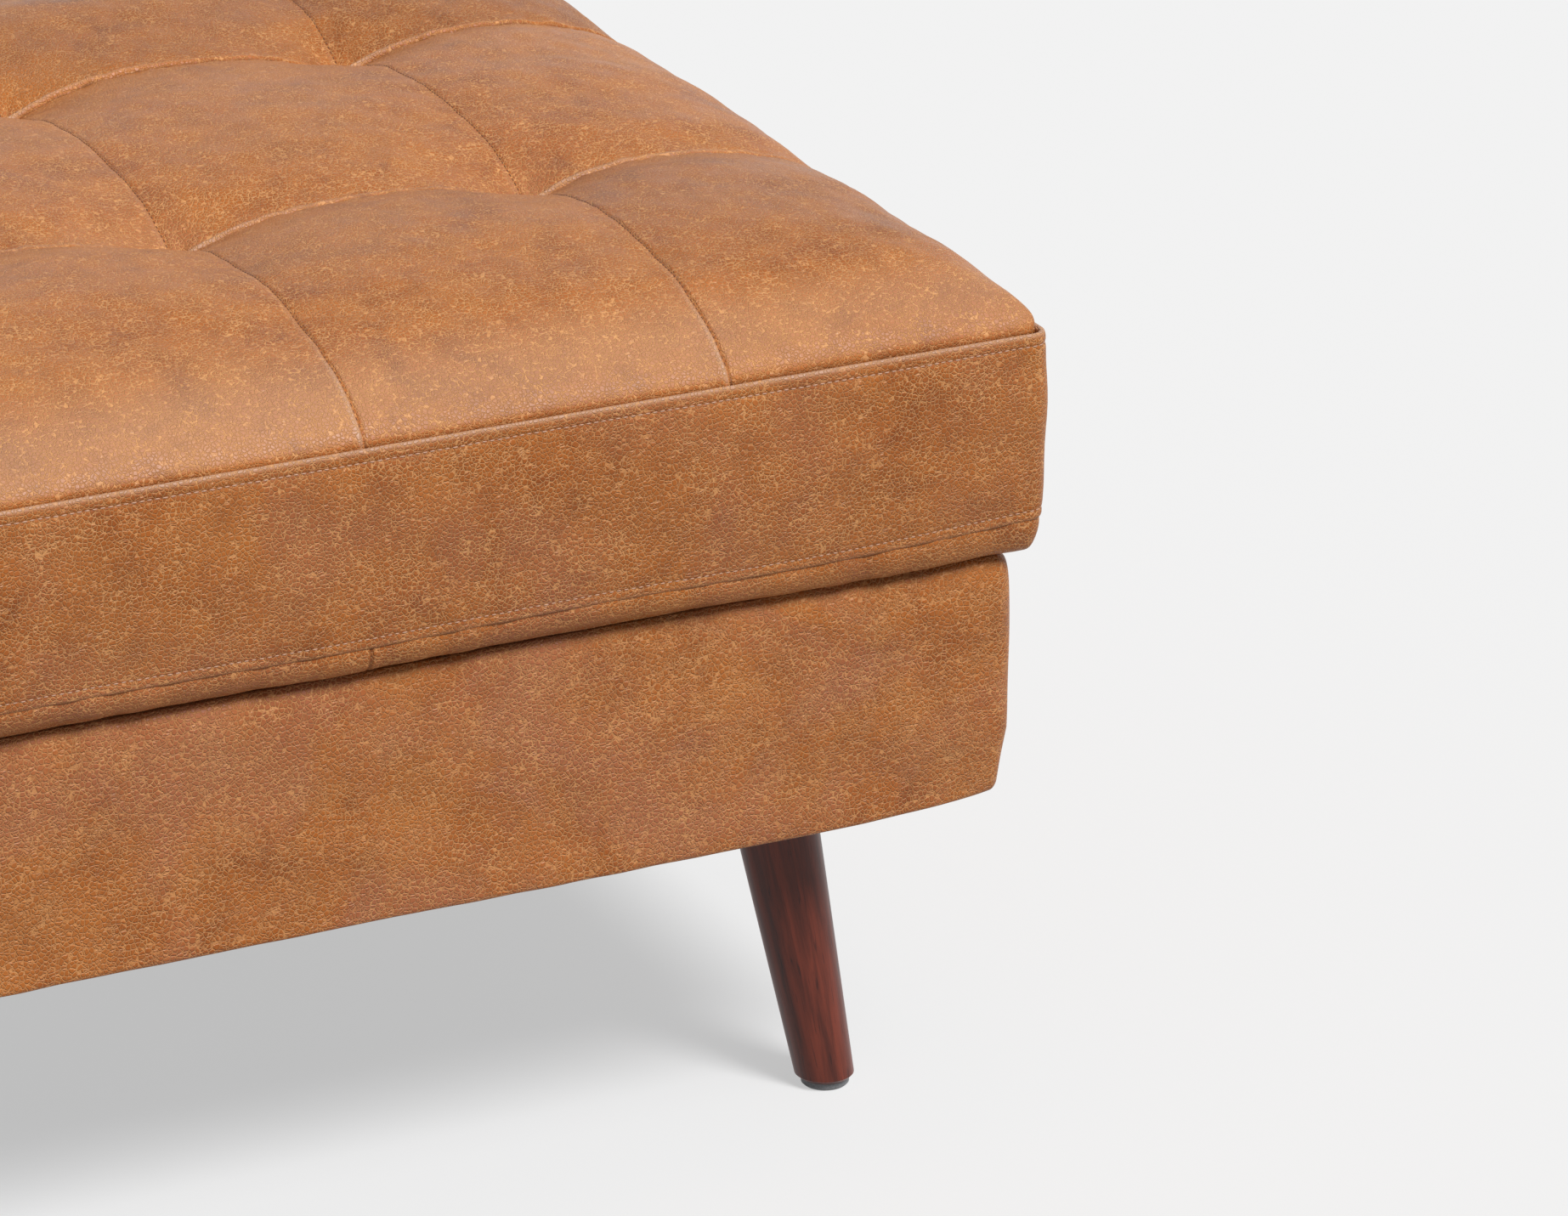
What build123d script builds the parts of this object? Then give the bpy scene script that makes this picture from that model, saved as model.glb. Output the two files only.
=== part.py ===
from build123d import *
import math
import os

os.makedirs("parts", exist_ok=True)

# An upholstered ottoman: a tufted box cushion lies loose on a padded, leather-covered frame
# with four splayed turned legs. Millimetres, origin on the floor under the middle,
# +X along the long side, +Y to the back, +Z up.

# Overall sizes, taken along the top edge seam of the cushion and up from the floor
seat_width = 889.0
seat_depth = 686.0
edge_height = 409.0
leg_room = 168.0
cushion_height = 111.0
strip_height = 13.0
base_inset = 11.0

# Sheet goods and general fits
leather = 1.4
cloth = 0.8
tape_thickness = 2.0
fit_gap = 0.05
soft_gap = 0.3
overrun = 20.0

# The cushion's crown: five by three panels, tufted where their seams cross
end_panel_width = 167.0
end_panel_depth = 229.0
inner_columns = 3
panel_strips = 6
crown_rise = 50.0
roll_run = 15.0
shoulder_run = 45.0

# The cushion's sides
cushion_corner = 9.0
band_swell = 1.8
band_draw = 2.0
swell_height_share = 0.55
side_levels = 5
edge_steps = 3
strip_step = 1.0
strip_draw = 6.0
strip_belly = 1.2

# The cushion's filling and ties
wrap_thickness = 10.0
tie_width = 3.0
tie_thickness = 1.0
toggle_length = 26.0
toggle_width = 9.0
toggle_thickness = 3.0

# The hook and loop tapes between cushion and deck
tape_width = 40.0
front_tape_length = 420.0
side_tape_length = 300.0
tape_margin = 95.0

# The padded base
base_corner = 11.0
base_draw_low = 4.0
base_draw_high = 2.0
base_edge_low = 7.0
base_edge_high = 5.0
widest_share = 0.68
side_foam_thickness = 12.0
deck_foam_thickness = 12.0
deck_border = 62.0

# The timber frame
rail_thickness = 18.0
rail_ease = 5.0
stretcher_thickness = 22.0
stretcher_height = 60.0
stretcher_drop = 34.0
plate_leg = 160.0
plate_thickness = 27.0
plate_nose = 12.0
dowel_radius = 4.0
dowel_length = 32.0
dowel_spacing = 32.0

# Countersunk screws
screw_length = 55.0
screw_radius = 2.2
screw_head = 4.4
rail_screw_spacing = 44.0
plate_screw_reach = 112.0

# The webbing
strap_width = 60.0
strap_thickness = 1.6
strap_gap = 0.2
strap_end_margin = 2.0
across_count = 3
across_spacing = 160.0
deep_count = 5
deep_spacing = 150.0
crossing_margin = 6.0

# Staples
staple_crown = 10.0
staple_wire = 0.9
staple_leg = 6.0
staple_run = 92.0
staple_inset = 8.0
strap_staple_count = 2
dust_lap = 16.0

# Legs and their fixings
leg_corner_inset = 90.5
leg_splay_run = 22.0
leg_top_radius = 22.0
leg_foot_radius = 14.6
leg_foot_edge = 2.0
glide_radius = 12.0
glide_thickness = 4.0
glide_edge = 1.0
nail_radius = 1.4
nail_length = 16.0
bolt_radius = 4.0
bolt_in_leg = 38.0
bolt_above_nut = 4.0
nut_flange_radius = 9.5
nut_flange_thickness = 1.6
nut_barrel_radius = 5.2
nut_barrel_length = 10.0
nut_seat_depth = 5.0

# Levels from the floor up
dust_low = leg_room - cloth
rail_low = leg_room + leather
cushion_low = edge_height - cushion_height
fold_low = cushion_low + strip_height
base_top = cushion_low - 2 * tape_thickness
deck_foam_top = base_top - leather
deck_foam_low = deck_foam_top - deck_foam_thickness
deck_cloth_low = deck_foam_low - cloth
strap_zone = 2 * strap_thickness + strap_gap
rail_top = deck_cloth_low - strap_zone
strap_top = rail_top + strap_thickness
plate_top = leg_room + plate_thickness
foam_low = cushion_low + cloth
crown_low = edge_height - leather
foam_top = crown_low - wrap_thickness

# Plan sizes
base_width = seat_width - 2 * base_inset
base_depth = seat_depth - 2 * base_inset
frame_width = base_width - 2 * (leather + side_foam_thickness)
frame_depth = base_depth - 2 * (leather + side_foam_thickness)
inner_panel_width = (seat_width - 2 * end_panel_width) / inner_columns
row_y = seat_depth / 2 - end_panel_depth
seam_xs = [end_panel_width - seat_width / 2 + inner_panel_width * i for i in range(inner_columns + 1)]

# Heights over the top edge seam, as shares of crown_rise, at five places from an edge inwards:
# halfway up the roll, the shoulder, the end panel's crest, the tufted row, the inner panel's crest
edge_shares = (0.008, 0.012, 0.02, 0.01, 0.02)
roll_shares = (0.25, 0.34, 0.38, 0.36, 0.38)
shoulder_shares = (0.31, 0.53, 0.64, 0.58, 0.64)
end_panel_shares = (0.35, 0.61, 0.92, 0.68, 0.88)
outer_seam_shares = (0.33, 0.57, 0.80, 0.26, 0.70)
inner_panel_shares = (0.37, 0.64, 1.00, 0.78, 0.94)
inner_seam_shares = (0.35, 0.60, 0.88, 0.38, 0.77)


def keep(builder, name):
    """Label a finished piece and write it."""
    builder.part.label = name
    export_step(builder.part, "parts/" + name + ".step")


def crown_arcs(shares):
    """Start, middle and end of each arc over the cushion, from the front edge seam to the back one."""
    roll, shoulder, crest, tuft, inner = [edge_height + share * crown_rise for share in shares]
    edge_y = seat_depth / 2
    shoulder_y = edge_y - shoulder_run
    crest_y = (shoulder_y + row_y) / 2
    front = [((-edge_y, edge_height), (roll_run - edge_y, roll), (-shoulder_y, shoulder)),
             ((-shoulder_y, shoulder), (-crest_y, crest), (-row_y, tuft))]
    middle = [((-row_y, tuft), (0, inner), (row_y, tuft))]
    back = [tuple((-y, z) for y, z in reversed(arc)) for arc in reversed(front)]
    return front + middle + back


def crown_section(x, shares):
    """Section of the crown across X: its arcs, closed by a line level with the foam's top."""
    arcs = crown_arcs(shares)
    with BuildSketch(Plane.YZ.offset(x)) as section:
        with BuildLine():
            for start, middle, end in arcs:
                ThreePointArc(start, middle, end)
            front, back = arcs[0][0], arcs[-1][2]
            Polyline(front, (front[0], foam_top), (back[0], foam_top), back)
        make_face()
    return section.sketch


def between(first, crest, last, share):
    """Heights at a share of the way across a panel, on a parabola over its two sides and its crest."""
    return [(2 * share - 1) * (share - 1) * f + 4 * share * (1 - share) * c + share * (2 * share - 1) * n
            for f, c, n in zip(first, crest, last)]


def crown_stations():
    """Places along X, each with its heights as shares: up the roll at one end, across the columns of
    panels in narrow strips, and down the roll at the other end."""
    edge_x = seat_width / 2
    shoulder_x = edge_x - shoulder_run
    seam_shares = [outer_seam_shares] + [inner_seam_shares] * (inner_columns - 1) + [outer_seam_shares]
    lines = [(-shoulder_x, shoulder_shares)] + list(zip(seam_xs, seam_shares)) + [(shoulder_x, shoulder_shares)]
    crests = [end_panel_shares] + [inner_panel_shares] * inner_columns + [end_panel_shares]
    stations = [(-edge_x, edge_shares), (roll_run - edge_x, roll_shares), lines[0]]
    for (left_x, left), (right_x, right), crest in zip(lines, lines[1:], crests):
        for i in range(1, panel_strips + 1):
            share = i / panel_strips
            stations.append((left_x + (right_x - left_x) * share, between(left, crest, right, share)))
    return stations + [(edge_x - roll_run, roll_shares), (edge_x, edge_shares)]


def outline(z, inset, width, depth, corner):
    """Rounded rectangle at a level, drawn in by an inset."""
    with BuildSketch(Plane.XY.offset(z)) as section:
        RectangleRounded(width - 2 * inset, depth - 2 * inset, corner)
    return section.sketch


def bow(share, draws, widest_share):
    """How far a soft side is drawn in at a share of its height: its draw at the foot, the widest
    place and the top is given, and two half parabolas join them."""
    foot, widest, top = draws
    if share < widest_share:
        return widest + (foot - widest) * (1 - share / widest_share) ** 2
    return widest + (top - widest) * ((share - widest_share) / (1 - widest_share)) ** 2


def band_form(inset, low, high):
    """Outlines of the cushion's side band, swelling between its seams, drawn in by a further inset."""
    shares = [i / (side_levels - 1) for i in range(side_levels)]
    draws = (band_draw, -band_swell, 0)
    return [outline(low + (high - low) * share, bow(share, draws, swell_height_share) + inset,
                    seat_width, seat_depth, cushion_corner) for share in shares]


def strip_form(inset, low, high):
    """Outlines of the narrow lower strip, curling under from the band's fold."""
    fold_draw = band_draw + strip_step
    draws = (fold_draw + strip_draw, fold_draw + strip_draw / 2 - strip_belly, fold_draw)
    places = zip((low, (low + high) / 2, high), draws)
    return [outline(z, draw + inset, seat_width, seat_depth, cushion_corner) for z, draw in places]


def base_envelope(inset):
    """The base's soft form with drawn-in sides and rounded edges, drawn in by an inset all round."""
    low, high = leg_room + inset, base_top - inset
    low_edge, high_edge = base_edge_low - inset, base_edge_high - inset
    turns = [math.radians(90) * i / edge_steps for i in range(edge_steps + 1)]
    places = [(low + low_edge * (1 - math.cos(turn)), low_edge * (1 - math.sin(turn))) for turn in turns]
    places += [(low + low_edge + (high - high_edge - low - low_edge) * i / (side_levels - 1), 0)
               for i in range(1, side_levels - 1)]
    places += [(high - high_edge * (1 - math.cos(turn)), high_edge * (1 - math.sin(turn)))
               for turn in reversed(turns)]
    draws = (base_draw_low, 0, base_draw_high)
    with BuildPart() as form:
        loft([outline(z, bow((z - low) / (high - low), draws, widest_share) + turned + inset,
                      base_width, base_depth, base_corner) for z, turned in places], ruled=True)
    return form.part


def slab(width, depth, low, high):
    """Plain block centred on the part's axis between two levels."""
    with BuildPart(Plane.XY.offset(low)) as block:
        Box(width, depth, high - low, align=(Align.CENTER, Align.CENTER, Align.MIN))
    return block.part


def screw(length, shank_radius, head_radius):
    """Countersunk screw with its head's face at the origin, pointing down -Z."""
    with BuildPart() as body:
        with BuildSketch(Plane.XZ):
            with BuildLine():
                Polyline((0, 0), (head_radius, 0), (shank_radius, shank_radius - head_radius),
                         (shank_radius, -length), (0, -length), close=True)
            make_face()
        revolve(axis=Axis.Z)
    return body.part


def staple():
    """Wire staple: its crown on the surface at the origin, its legs down -Z."""
    with BuildPart() as wire:
        Box(staple_crown, staple_wire, staple_wire, align=(Align.CENTER, Align.CENTER, Align.MIN))
        with Locations(((staple_crown - staple_wire) / 2, 0, 0), ((staple_wire - staple_crown) / 2, 0, 0)):
            Box(staple_wire, staple_wire, staple_leg, align=(Align.CENTER, Align.CENTER, Align.MAX))
    return wire.part


def spread(count, spacing):
    """Evenly spaced places about zero."""
    return [(i - (count - 1) / 2) * spacing for i in range(count)]


# Cushion: the tufted leather top, sewn from fifteen panels and pulled down at eight crossings
tuft_places = []
for seam_x in seam_xs:
    seam_shares = outer_seam_shares if seam_x in (seam_xs[0], seam_xs[-1]) else inner_seam_shares
    for tuft_y in (-row_y, row_y):
        tuft_places.append((seam_x, tuft_y, edge_height + seam_shares[3] * crown_rise))

with BuildPart() as crown_form:
    loft([crown_section(x, shares) for x, shares in crown_stations()], ruled=True)
    with BuildSketch(Plane.XY.offset(foam_top)):
        RectangleRounded(seat_width, seat_depth, cushion_corner)
    extrude(amount=2 * crown_rise, mode=Mode.INTERSECT)
under_crown = crown_form.part.moved(Location((0, 0, -leather)))

with BuildPart() as top_cover:
    add(crown_form.part)
    add(under_crown, mode=Mode.SUBTRACT)
keep(top_cover, "top_cover")

with BuildPart() as side_band:
    loft(band_form(0, fold_low, crown_low), ruled=True)
    loft(band_form(leather, fold_low, crown_low), ruled=True, mode=Mode.SUBTRACT)
keep(side_band, "side_band")

with BuildPart() as lower_strip:
    loft(strip_form(0, cushion_low, fold_low), ruled=True)
    loft(strip_form(leather, cushion_low, fold_low), ruled=True, mode=Mode.SUBTRACT)
keep(lower_strip, "lower_strip")

cloth_inset = band_draw + strip_step + strip_draw + leather
with BuildPart() as bottom_cloth:
    with BuildSketch(Plane.XY.offset(cushion_low)):
        RectangleRounded(seat_width - 2 * cloth_inset, seat_depth - 2 * cloth_inset, cushion_corner)
    extrude(amount=cloth)
keep(bottom_cloth, "bottom_cloth")

core_inset = cloth_inset + wrap_thickness
tie_points = [(x, y, foam_low) for x, y, z in tuft_places]
with BuildPart() as foam_core:
    with BuildSketch(Plane.XY.offset(foam_low)):
        RectangleRounded(seat_width - 2 * core_inset, seat_depth - 2 * core_inset, cushion_corner)
    extrude(amount=foam_top - foam_low)
    foam_form = foam_core.part
    with Locations(*tie_points):
        Box(tie_width + 2 * soft_gap, tie_thickness + 2 * soft_gap, foam_top - foam_low,
            align=(Align.CENTER, Align.CENTER, Align.MIN), mode=Mode.SUBTRACT)
        Box(toggle_length + 2 * soft_gap, toggle_width + 2 * soft_gap, toggle_thickness + soft_gap,
            align=(Align.CENTER, Align.CENTER, Align.MIN), mode=Mode.SUBTRACT)
keep(foam_core, "foam_core")

with BuildPart() as fibre_wrap:
    add(under_crown)
    with BuildSketch(Plane.XY.offset(crown_low)):
        RectangleRounded(seat_width - 2 * leather, seat_depth - 2 * leather, cushion_corner)
    extrude(amount=2 * crown_rise, mode=Mode.INTERSECT)
    loft(band_form(leather, fold_low, crown_low), ruled=True)
    loft(strip_form(leather, foam_low, fold_low), ruled=True)
    add(foam_form, mode=Mode.SUBTRACT)
    with Locations(*tie_points):
        Box(tie_width + 2 * soft_gap, tie_thickness + 2 * soft_gap, edge_height - foam_low + crown_rise,
            align=(Align.CENTER, Align.CENTER, Align.MIN), mode=Mode.SUBTRACT)
keep(fibre_wrap, "fibre_wrap")

tie_low = foam_low + toggle_thickness
with BuildPart() as tuft_ties:
    for x, y, z in tuft_places:
        with Locations((x, y, tie_low)):
            Box(tie_width, tie_thickness, z - leather - soft_gap - tie_low,
                align=(Align.CENTER, Align.CENTER, Align.MIN))
keep(tuft_ties, "tuft_ties")

with BuildPart() as tuft_toggles:
    with Locations(*tie_points):
        Box(toggle_length, toggle_width, toggle_thickness, align=(Align.CENTER, Align.CENTER, Align.MIN))
keep(tuft_toggles, "tuft_toggles")

# Hook tapes sewn under the cushion and loop tapes sewn on the deck, in four pairs
tape_y = seat_depth / 2 - tape_margin
tape_x = seat_width / 2 - tape_margin
for name, low in (("hook_tapes", cushion_low - tape_thickness), ("loop_tapes", base_top)):
    with BuildPart() as tapes:
        with BuildSketch(Plane.XY.offset(low)):
            with Locations((0, -tape_y), (0, tape_y)):
                Rectangle(front_tape_length, tape_width)
            with Locations((-tape_x, 0), (tape_x, 0)):
                Rectangle(tape_width, side_tape_length)
        extrude(amount=tape_thickness)
    keep(tapes, name)

# Base: the leather cover, turned in over the deck and under the rails
outer_form = base_envelope(0)
inner_form = base_envelope(leather)
turned_edge = leather + side_foam_thickness + rail_thickness
with BuildPart() as base_cover:
    add(outer_form)
    add(inner_form, mode=Mode.SUBTRACT)
    add(slab(base_width - 2 * deck_border, base_depth - 2 * deck_border, base_top - overrun,
             base_top + overrun), mode=Mode.SUBTRACT)
    add(slab(base_width - 2 * turned_edge, base_depth - 2 * turned_edge, leg_room - overrun,
             leg_room + overrun), mode=Mode.SUBTRACT)
keep(base_cover, "base_cover")

with BuildPart() as deck_lining:
    add(slab(base_width - 2 * deck_border, base_depth - 2 * deck_border, deck_foam_top, base_top))
keep(deck_lining, "deck_lining")

with BuildPart() as deck_foam:
    add(inner_form)
    add(slab(base_width, base_depth, deck_foam_low, base_top), mode=Mode.INTERSECT)
keep(deck_foam, "deck_foam")

with BuildPart() as side_foam:
    add(inner_form)
    add(slab(base_width, base_depth, rail_low, deck_foam_low), mode=Mode.INTERSECT)
    add(slab(frame_width, frame_depth, rail_low - overrun, deck_foam_low + overrun), mode=Mode.SUBTRACT)
keep(side_foam, "side_foam")

with BuildPart() as deck_cloth:
    add(slab(frame_width, frame_depth, deck_cloth_low, deck_foam_low))
keep(deck_cloth, "deck_cloth")

# Frame: front and back rails run through, side rails butt between them
rail_height = rail_top - rail_low
front_y = (frame_depth - rail_thickness) / 2
side_x = (frame_width - rail_thickness) / 2
corner_x = frame_width / 2 - rail_thickness
corner_y = frame_depth / 2 - rail_thickness
rail_middle = (rail_low + rail_top) / 2
stretcher_middle = rail_top - stretcher_drop - stretcher_height / 2
corners = (("front_left", -1, -1), ("front_right", 1, -1), ("back_left", -1, 1), ("back_right", 1, 1))


def end_screw_places(sign):
    """Screw heads flush in the outer face of the front (-1) or back (+1) rail, into the side rails."""
    return [Plane(origin=(x, sign * frame_depth / 2, plate_top + rail_screw_spacing / 2 + rise),
                  x_dir=(1, 0, 0), z_dir=(0, sign, 0))
            for x in (-side_x, side_x) for rise in (0, rail_screw_spacing)]


def plate_screw_places(sign):
    """Screw heads flush in the outer face of the front (-1) or back (+1) rail, into the corner plates."""
    reach = corner_x - plate_screw_reach
    return [Plane(origin=(x, sign * frame_depth / 2, leg_room + plate_thickness / 2),
                  x_dir=(1, 0, 0), z_dir=(0, sign, 0)) for x in (-reach, reach)]


def dowel_places(sign):
    """Dowel middles on the joint between the stretcher and the front (-1) or back (+1) rail."""
    return [Plane(origin=(0, sign * corner_y, stretcher_middle + rise), x_dir=(1, 0, 0), z_dir=(0, sign, 0))
            for rise in spread(2, dowel_spacing)]


for name, sign in (("front_rail", -1), ("back_rail", 1)):
    with BuildPart() as rail:
        with Locations((0, sign * front_y, rail_middle)):
            Box(frame_width, rail_thickness, rail_height)
        outer_corners = rail.edges().filter_by(Axis.Z).sort_by(Axis.Y)
        fillet(outer_corners[:2] if sign < 0 else outer_corners[-2:], rail_ease)
        with Locations(*end_screw_places(sign), *plate_screw_places(sign)):
            CounterSinkHole(screw_radius + fit_gap, screw_head + fit_gap, rail_thickness)
        with Locations(*dowel_places(sign)):
            Cylinder(dowel_radius + fit_gap, dowel_length + 2 * fit_gap, mode=Mode.SUBTRACT)
    keep(rail, name)

for name, sign in (("left_rail", -1), ("right_rail", 1)):
    with BuildPart() as rail:
        with Locations((sign * side_x, 0, rail_middle)):
            Box(rail_thickness, 2 * corner_y, rail_height)
        with Locations(*end_screw_places(-1), *end_screw_places(1)):
            Cylinder(screw_radius + fit_gap, screw_length + fit_gap,
                     align=(Align.CENTER, Align.CENTER, Align.MAX), mode=Mode.SUBTRACT)
    keep(rail, name)

with BuildPart() as stretcher:
    with Locations((0, 0, stretcher_middle)):
        Box(stretcher_thickness, 2 * corner_y, stretcher_height)
    with Locations(*dowel_places(-1), *dowel_places(1)):
        Cylinder(dowel_radius + fit_gap, dowel_length + 2 * fit_gap, mode=Mode.SUBTRACT)
keep(stretcher, "stretcher")

with BuildPart() as stretcher_dowels:
    with Locations(*dowel_places(-1), *dowel_places(1)):
        Cylinder(dowel_radius, dowel_length)
keep(stretcher_dowels, "stretcher_dowels")

with BuildPart() as rail_screws:
    with Locations(*end_screw_places(-1), *end_screw_places(1)):
        add(screw(screw_length, screw_radius, screw_head))
keep(rail_screws, "rail_screws")

with BuildPart() as plate_screws:
    with Locations(*plate_screw_places(-1), *plate_screw_places(1)):
        add(screw(screw_length, screw_radius, screw_head))
keep(plate_screws, "plate_screws")

# Legs stand under the corner plates, their axes splayed outwards along both sides
leg_top_x = base_width / 2 - leg_corner_inset
leg_top_y = base_depth / 2 - leg_corner_inset
leg_height = dust_low - glide_thickness


def leg_axis(sign_x, sign_y, z):
    """Plane square to a leg's axis, where that axis crosses a level, facing up the leg."""
    run = leg_splay_run * (dust_low - z) / leg_height
    place = (sign_x * (leg_top_x + run), sign_y * (leg_top_y + run), z)
    up = Vector(-sign_x * leg_splay_run, -sign_y * leg_splay_run, leg_height)
    return Plane(origin=place, x_dir=(-sign_y, sign_x, 0), z_dir=up)


def bore(plane, radius, low, high):
    """Cylinder along a leg's axis between two distances from a plane across that axis."""
    with BuildPart() as tool:
        with Locations(plane.offset(low)):
            Cylinder(radius, high - low, align=(Align.CENTER, Align.CENTER, Align.MIN))
    return tool.part


for name, sign_x, sign_y in corners:
    nut_seat = leg_axis(sign_x, sign_y, plate_top - nut_seat_depth)
    with BuildPart() as corner_plate:
        with BuildSketch(Plane.XY.offset(leg_room)):
            with BuildLine():
                points = [(corner_x, corner_y), (corner_x - plate_leg, corner_y),
                          (corner_x - plate_leg, corner_y - plate_nose),
                          (corner_x - plate_nose, corner_y - plate_leg), (corner_x, corner_y - plate_leg)]
                Polyline(*[(sign_x * x, sign_y * y) for x, y in points], close=True)
            make_face()
        extrude(amount=plate_thickness)
        add(bore(nut_seat, nut_barrel_radius + fit_gap, -plate_thickness - overrun, overrun),
            mode=Mode.SUBTRACT)
        add(bore(nut_seat, nut_flange_radius + soft_gap, 0, plate_thickness), mode=Mode.SUBTRACT)
        with Locations(*plate_screw_places(sign_y)):
            Cylinder(screw_radius + fit_gap, screw_length + fit_gap,
                     align=(Align.CENTER, Align.CENTER, Align.MAX), mode=Mode.SUBTRACT)
    keep(corner_plate, "corner_plate_" + name)

    foot = leg_axis(sign_x, sign_y, glide_thickness)
    axis_length = math.hypot(leg_height, leg_splay_run, leg_splay_run)
    taper = (leg_top_radius - leg_foot_radius) / axis_length
    with BuildPart() as leg:
        with BuildSketch(Plane(origin=foot.origin, x_dir=foot.x_dir, z_dir=-foot.y_dir)):
            with BuildLine():
                Polyline((0, -overrun), (leg_foot_radius - taper * overrun, -overrun),
                         (leg_top_radius + taper * overrun, axis_length + overrun),
                         (0, axis_length + overrun), close=True)
            make_face()
        revolve(axis=Axis(foot.origin, foot.z_dir))
        split(bisect_by=Plane.XY.offset(dust_low), keep=Keep.BOTTOM)
        split(bisect_by=Plane.XY.offset(glide_thickness), keep=Keep.TOP)
        chamfer(leg.faces().sort_by(Axis.Z)[0].edges(), leg_foot_edge)
        add(bore(leg_axis(sign_x, sign_y, dust_low), bolt_radius + fit_gap, -bolt_in_leg - fit_gap, overrun),
            mode=Mode.SUBTRACT)
        with Locations((foot.origin.X, foot.origin.Y, glide_thickness)):
            Cylinder(nail_radius + fit_gap, nail_length, align=(Align.CENTER, Align.CENTER, Align.MIN),
                     mode=Mode.SUBTRACT)
    keep(leg, "leg_" + name)

    with BuildPart() as glide:
        with Locations((foot.origin.X, foot.origin.Y, 0)):
            Cylinder(glide_radius, glide_thickness, align=(Align.CENTER, Align.CENTER, Align.MIN))
        chamfer(glide.faces().sort_by(Axis.Z)[0].edges(), glide_edge)
    keep(glide, "glide_" + name)

with BuildPart() as glide_nails:
    for name, sign_x, sign_y in corners:
        foot = leg_axis(sign_x, sign_y, glide_thickness)
        with Locations((foot.origin.X, foot.origin.Y, glide_thickness)):
            Cylinder(nail_radius, nail_length - soft_gap, align=(Align.CENTER, Align.CENTER, Align.MIN))
keep(glide_nails, "glide_nails")

with BuildPart() as hanger_bolts:
    for name, sign_x, sign_y in corners:
        leg_top = leg_axis(sign_x, sign_y, dust_low)
        nut_seat = leg_axis(sign_x, sign_y, plate_top - nut_seat_depth)
        rise = (nut_seat.origin - leg_top.origin).length
        add(bore(leg_top, bolt_radius, -bolt_in_leg, rise + nut_flange_thickness + bolt_above_nut))
keep(hanger_bolts, "hanger_bolts")

with BuildPart() as tee_nuts:
    for name, sign_x, sign_y in corners:
        nut_seat = leg_axis(sign_x, sign_y, plate_top - nut_seat_depth)
        add(bore(nut_seat, nut_flange_radius, 0, nut_flange_thickness))
        add(bore(nut_seat, nut_barrel_radius, -nut_barrel_length, 0))
        add(bore(nut_seat, bolt_radius + fit_gap, -nut_barrel_length - overrun, overrun), mode=Mode.SUBTRACT)
keep(tee_nuts, "tee_nuts")

# The dust cover under the frame, its edges turned in and stapled through the leather
dust_width = base_width - 2 * (turned_edge - dust_lap)
dust_depth = base_depth - 2 * (turned_edge - dust_lap)
with BuildPart() as dust_cover:
    add(slab(dust_width, dust_depth, dust_low, leg_room))
    for name, sign_x, sign_y in corners:
        leg_top = leg_axis(sign_x, sign_y, dust_low)
        add(bore(leg_top, bolt_radius + soft_gap, -overrun, overrun), mode=Mode.SUBTRACT)
keep(dust_cover, "dust_cover")

long_count = int(dust_width // staple_run)
short_count = int(dust_depth // staple_run)
staple_x = dust_width / 2 - staple_inset
staple_y = dust_depth / 2 - staple_inset
with BuildPart() as dust_cover_staples:
    down = Plane(origin=(0, 0, dust_low), x_dir=(1, 0, 0), z_dir=(0, 0, -1))
    turned = Plane(origin=(0, 0, dust_low), x_dir=(0, 1, 0), z_dir=(0, 0, -1))
    places = [down.location * Location((x, y, 0))
              for x in spread(long_count, staple_run) for y in (-staple_y, staple_y)]
    places += [turned.location * Location((y, x, 0))
               for y in spread(short_count, staple_run) for x in (-staple_x, staple_x)]
    with Locations(*places):
        add(staple())
keep(dust_cover_staples, "dust_cover_staples")


def strap(centres, half_length, first_over):
    """Side profile of a webbing strap that passes over and under those it crosses."""
    flat = strap_width / 2 + crossing_margin
    points = [(-half_length, rail_top)]
    for i, centre in enumerate(centres):
        level = rail_top + (strap_thickness + strap_gap if (i % 2 == 0) == first_over else 0)
        points += [(centre - flat, level), (centre + flat, level)]
    points.append((half_length, rail_top))
    back = [(s, z + strap_thickness) for s, z in reversed(points)]
    return points + back


across_ys = spread(across_count, across_spacing)
deep_xs = spread(deep_count, deep_spacing)
across_reach = frame_width / 2 - strap_end_margin
deep_reach = frame_depth / 2 - strap_end_margin
for i, y in enumerate(across_ys):
    with BuildPart() as across_strap:
        with BuildSketch(Plane.XZ.offset(-y)):
            with BuildLine():
                Polyline(*strap(deep_xs, across_reach, i % 2 == 0), close=True)
            make_face()
        extrude(amount=strap_width / 2, both=True)
    keep(across_strap, "across_strap_" + str(i + 1))
for i, x in enumerate(deep_xs):
    with BuildPart() as deep_strap:
        with BuildSketch(Plane.YZ.offset(x)):
            with BuildLine():
                Polyline(*strap(across_ys, deep_reach, i % 2 == 1), close=True)
            make_face()
        extrude(amount=strap_width / 2, both=True)
    keep(deep_strap, "deep_strap_" + str(i + 1))

with BuildPart() as strap_staples:
    places = []
    for step in spread(strap_staple_count, strap_width / strap_staple_count):
        for sign in (-1, 1):
            places += [Location((sign * side_x, y + step, strap_top), 90) for y in across_ys]
            places += [Location((x + step, sign * front_y, strap_top)) for x in deep_xs]
    with Locations(*places):
        add(staple())
keep(strap_staples, "strap_staples")
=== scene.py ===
import math

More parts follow.
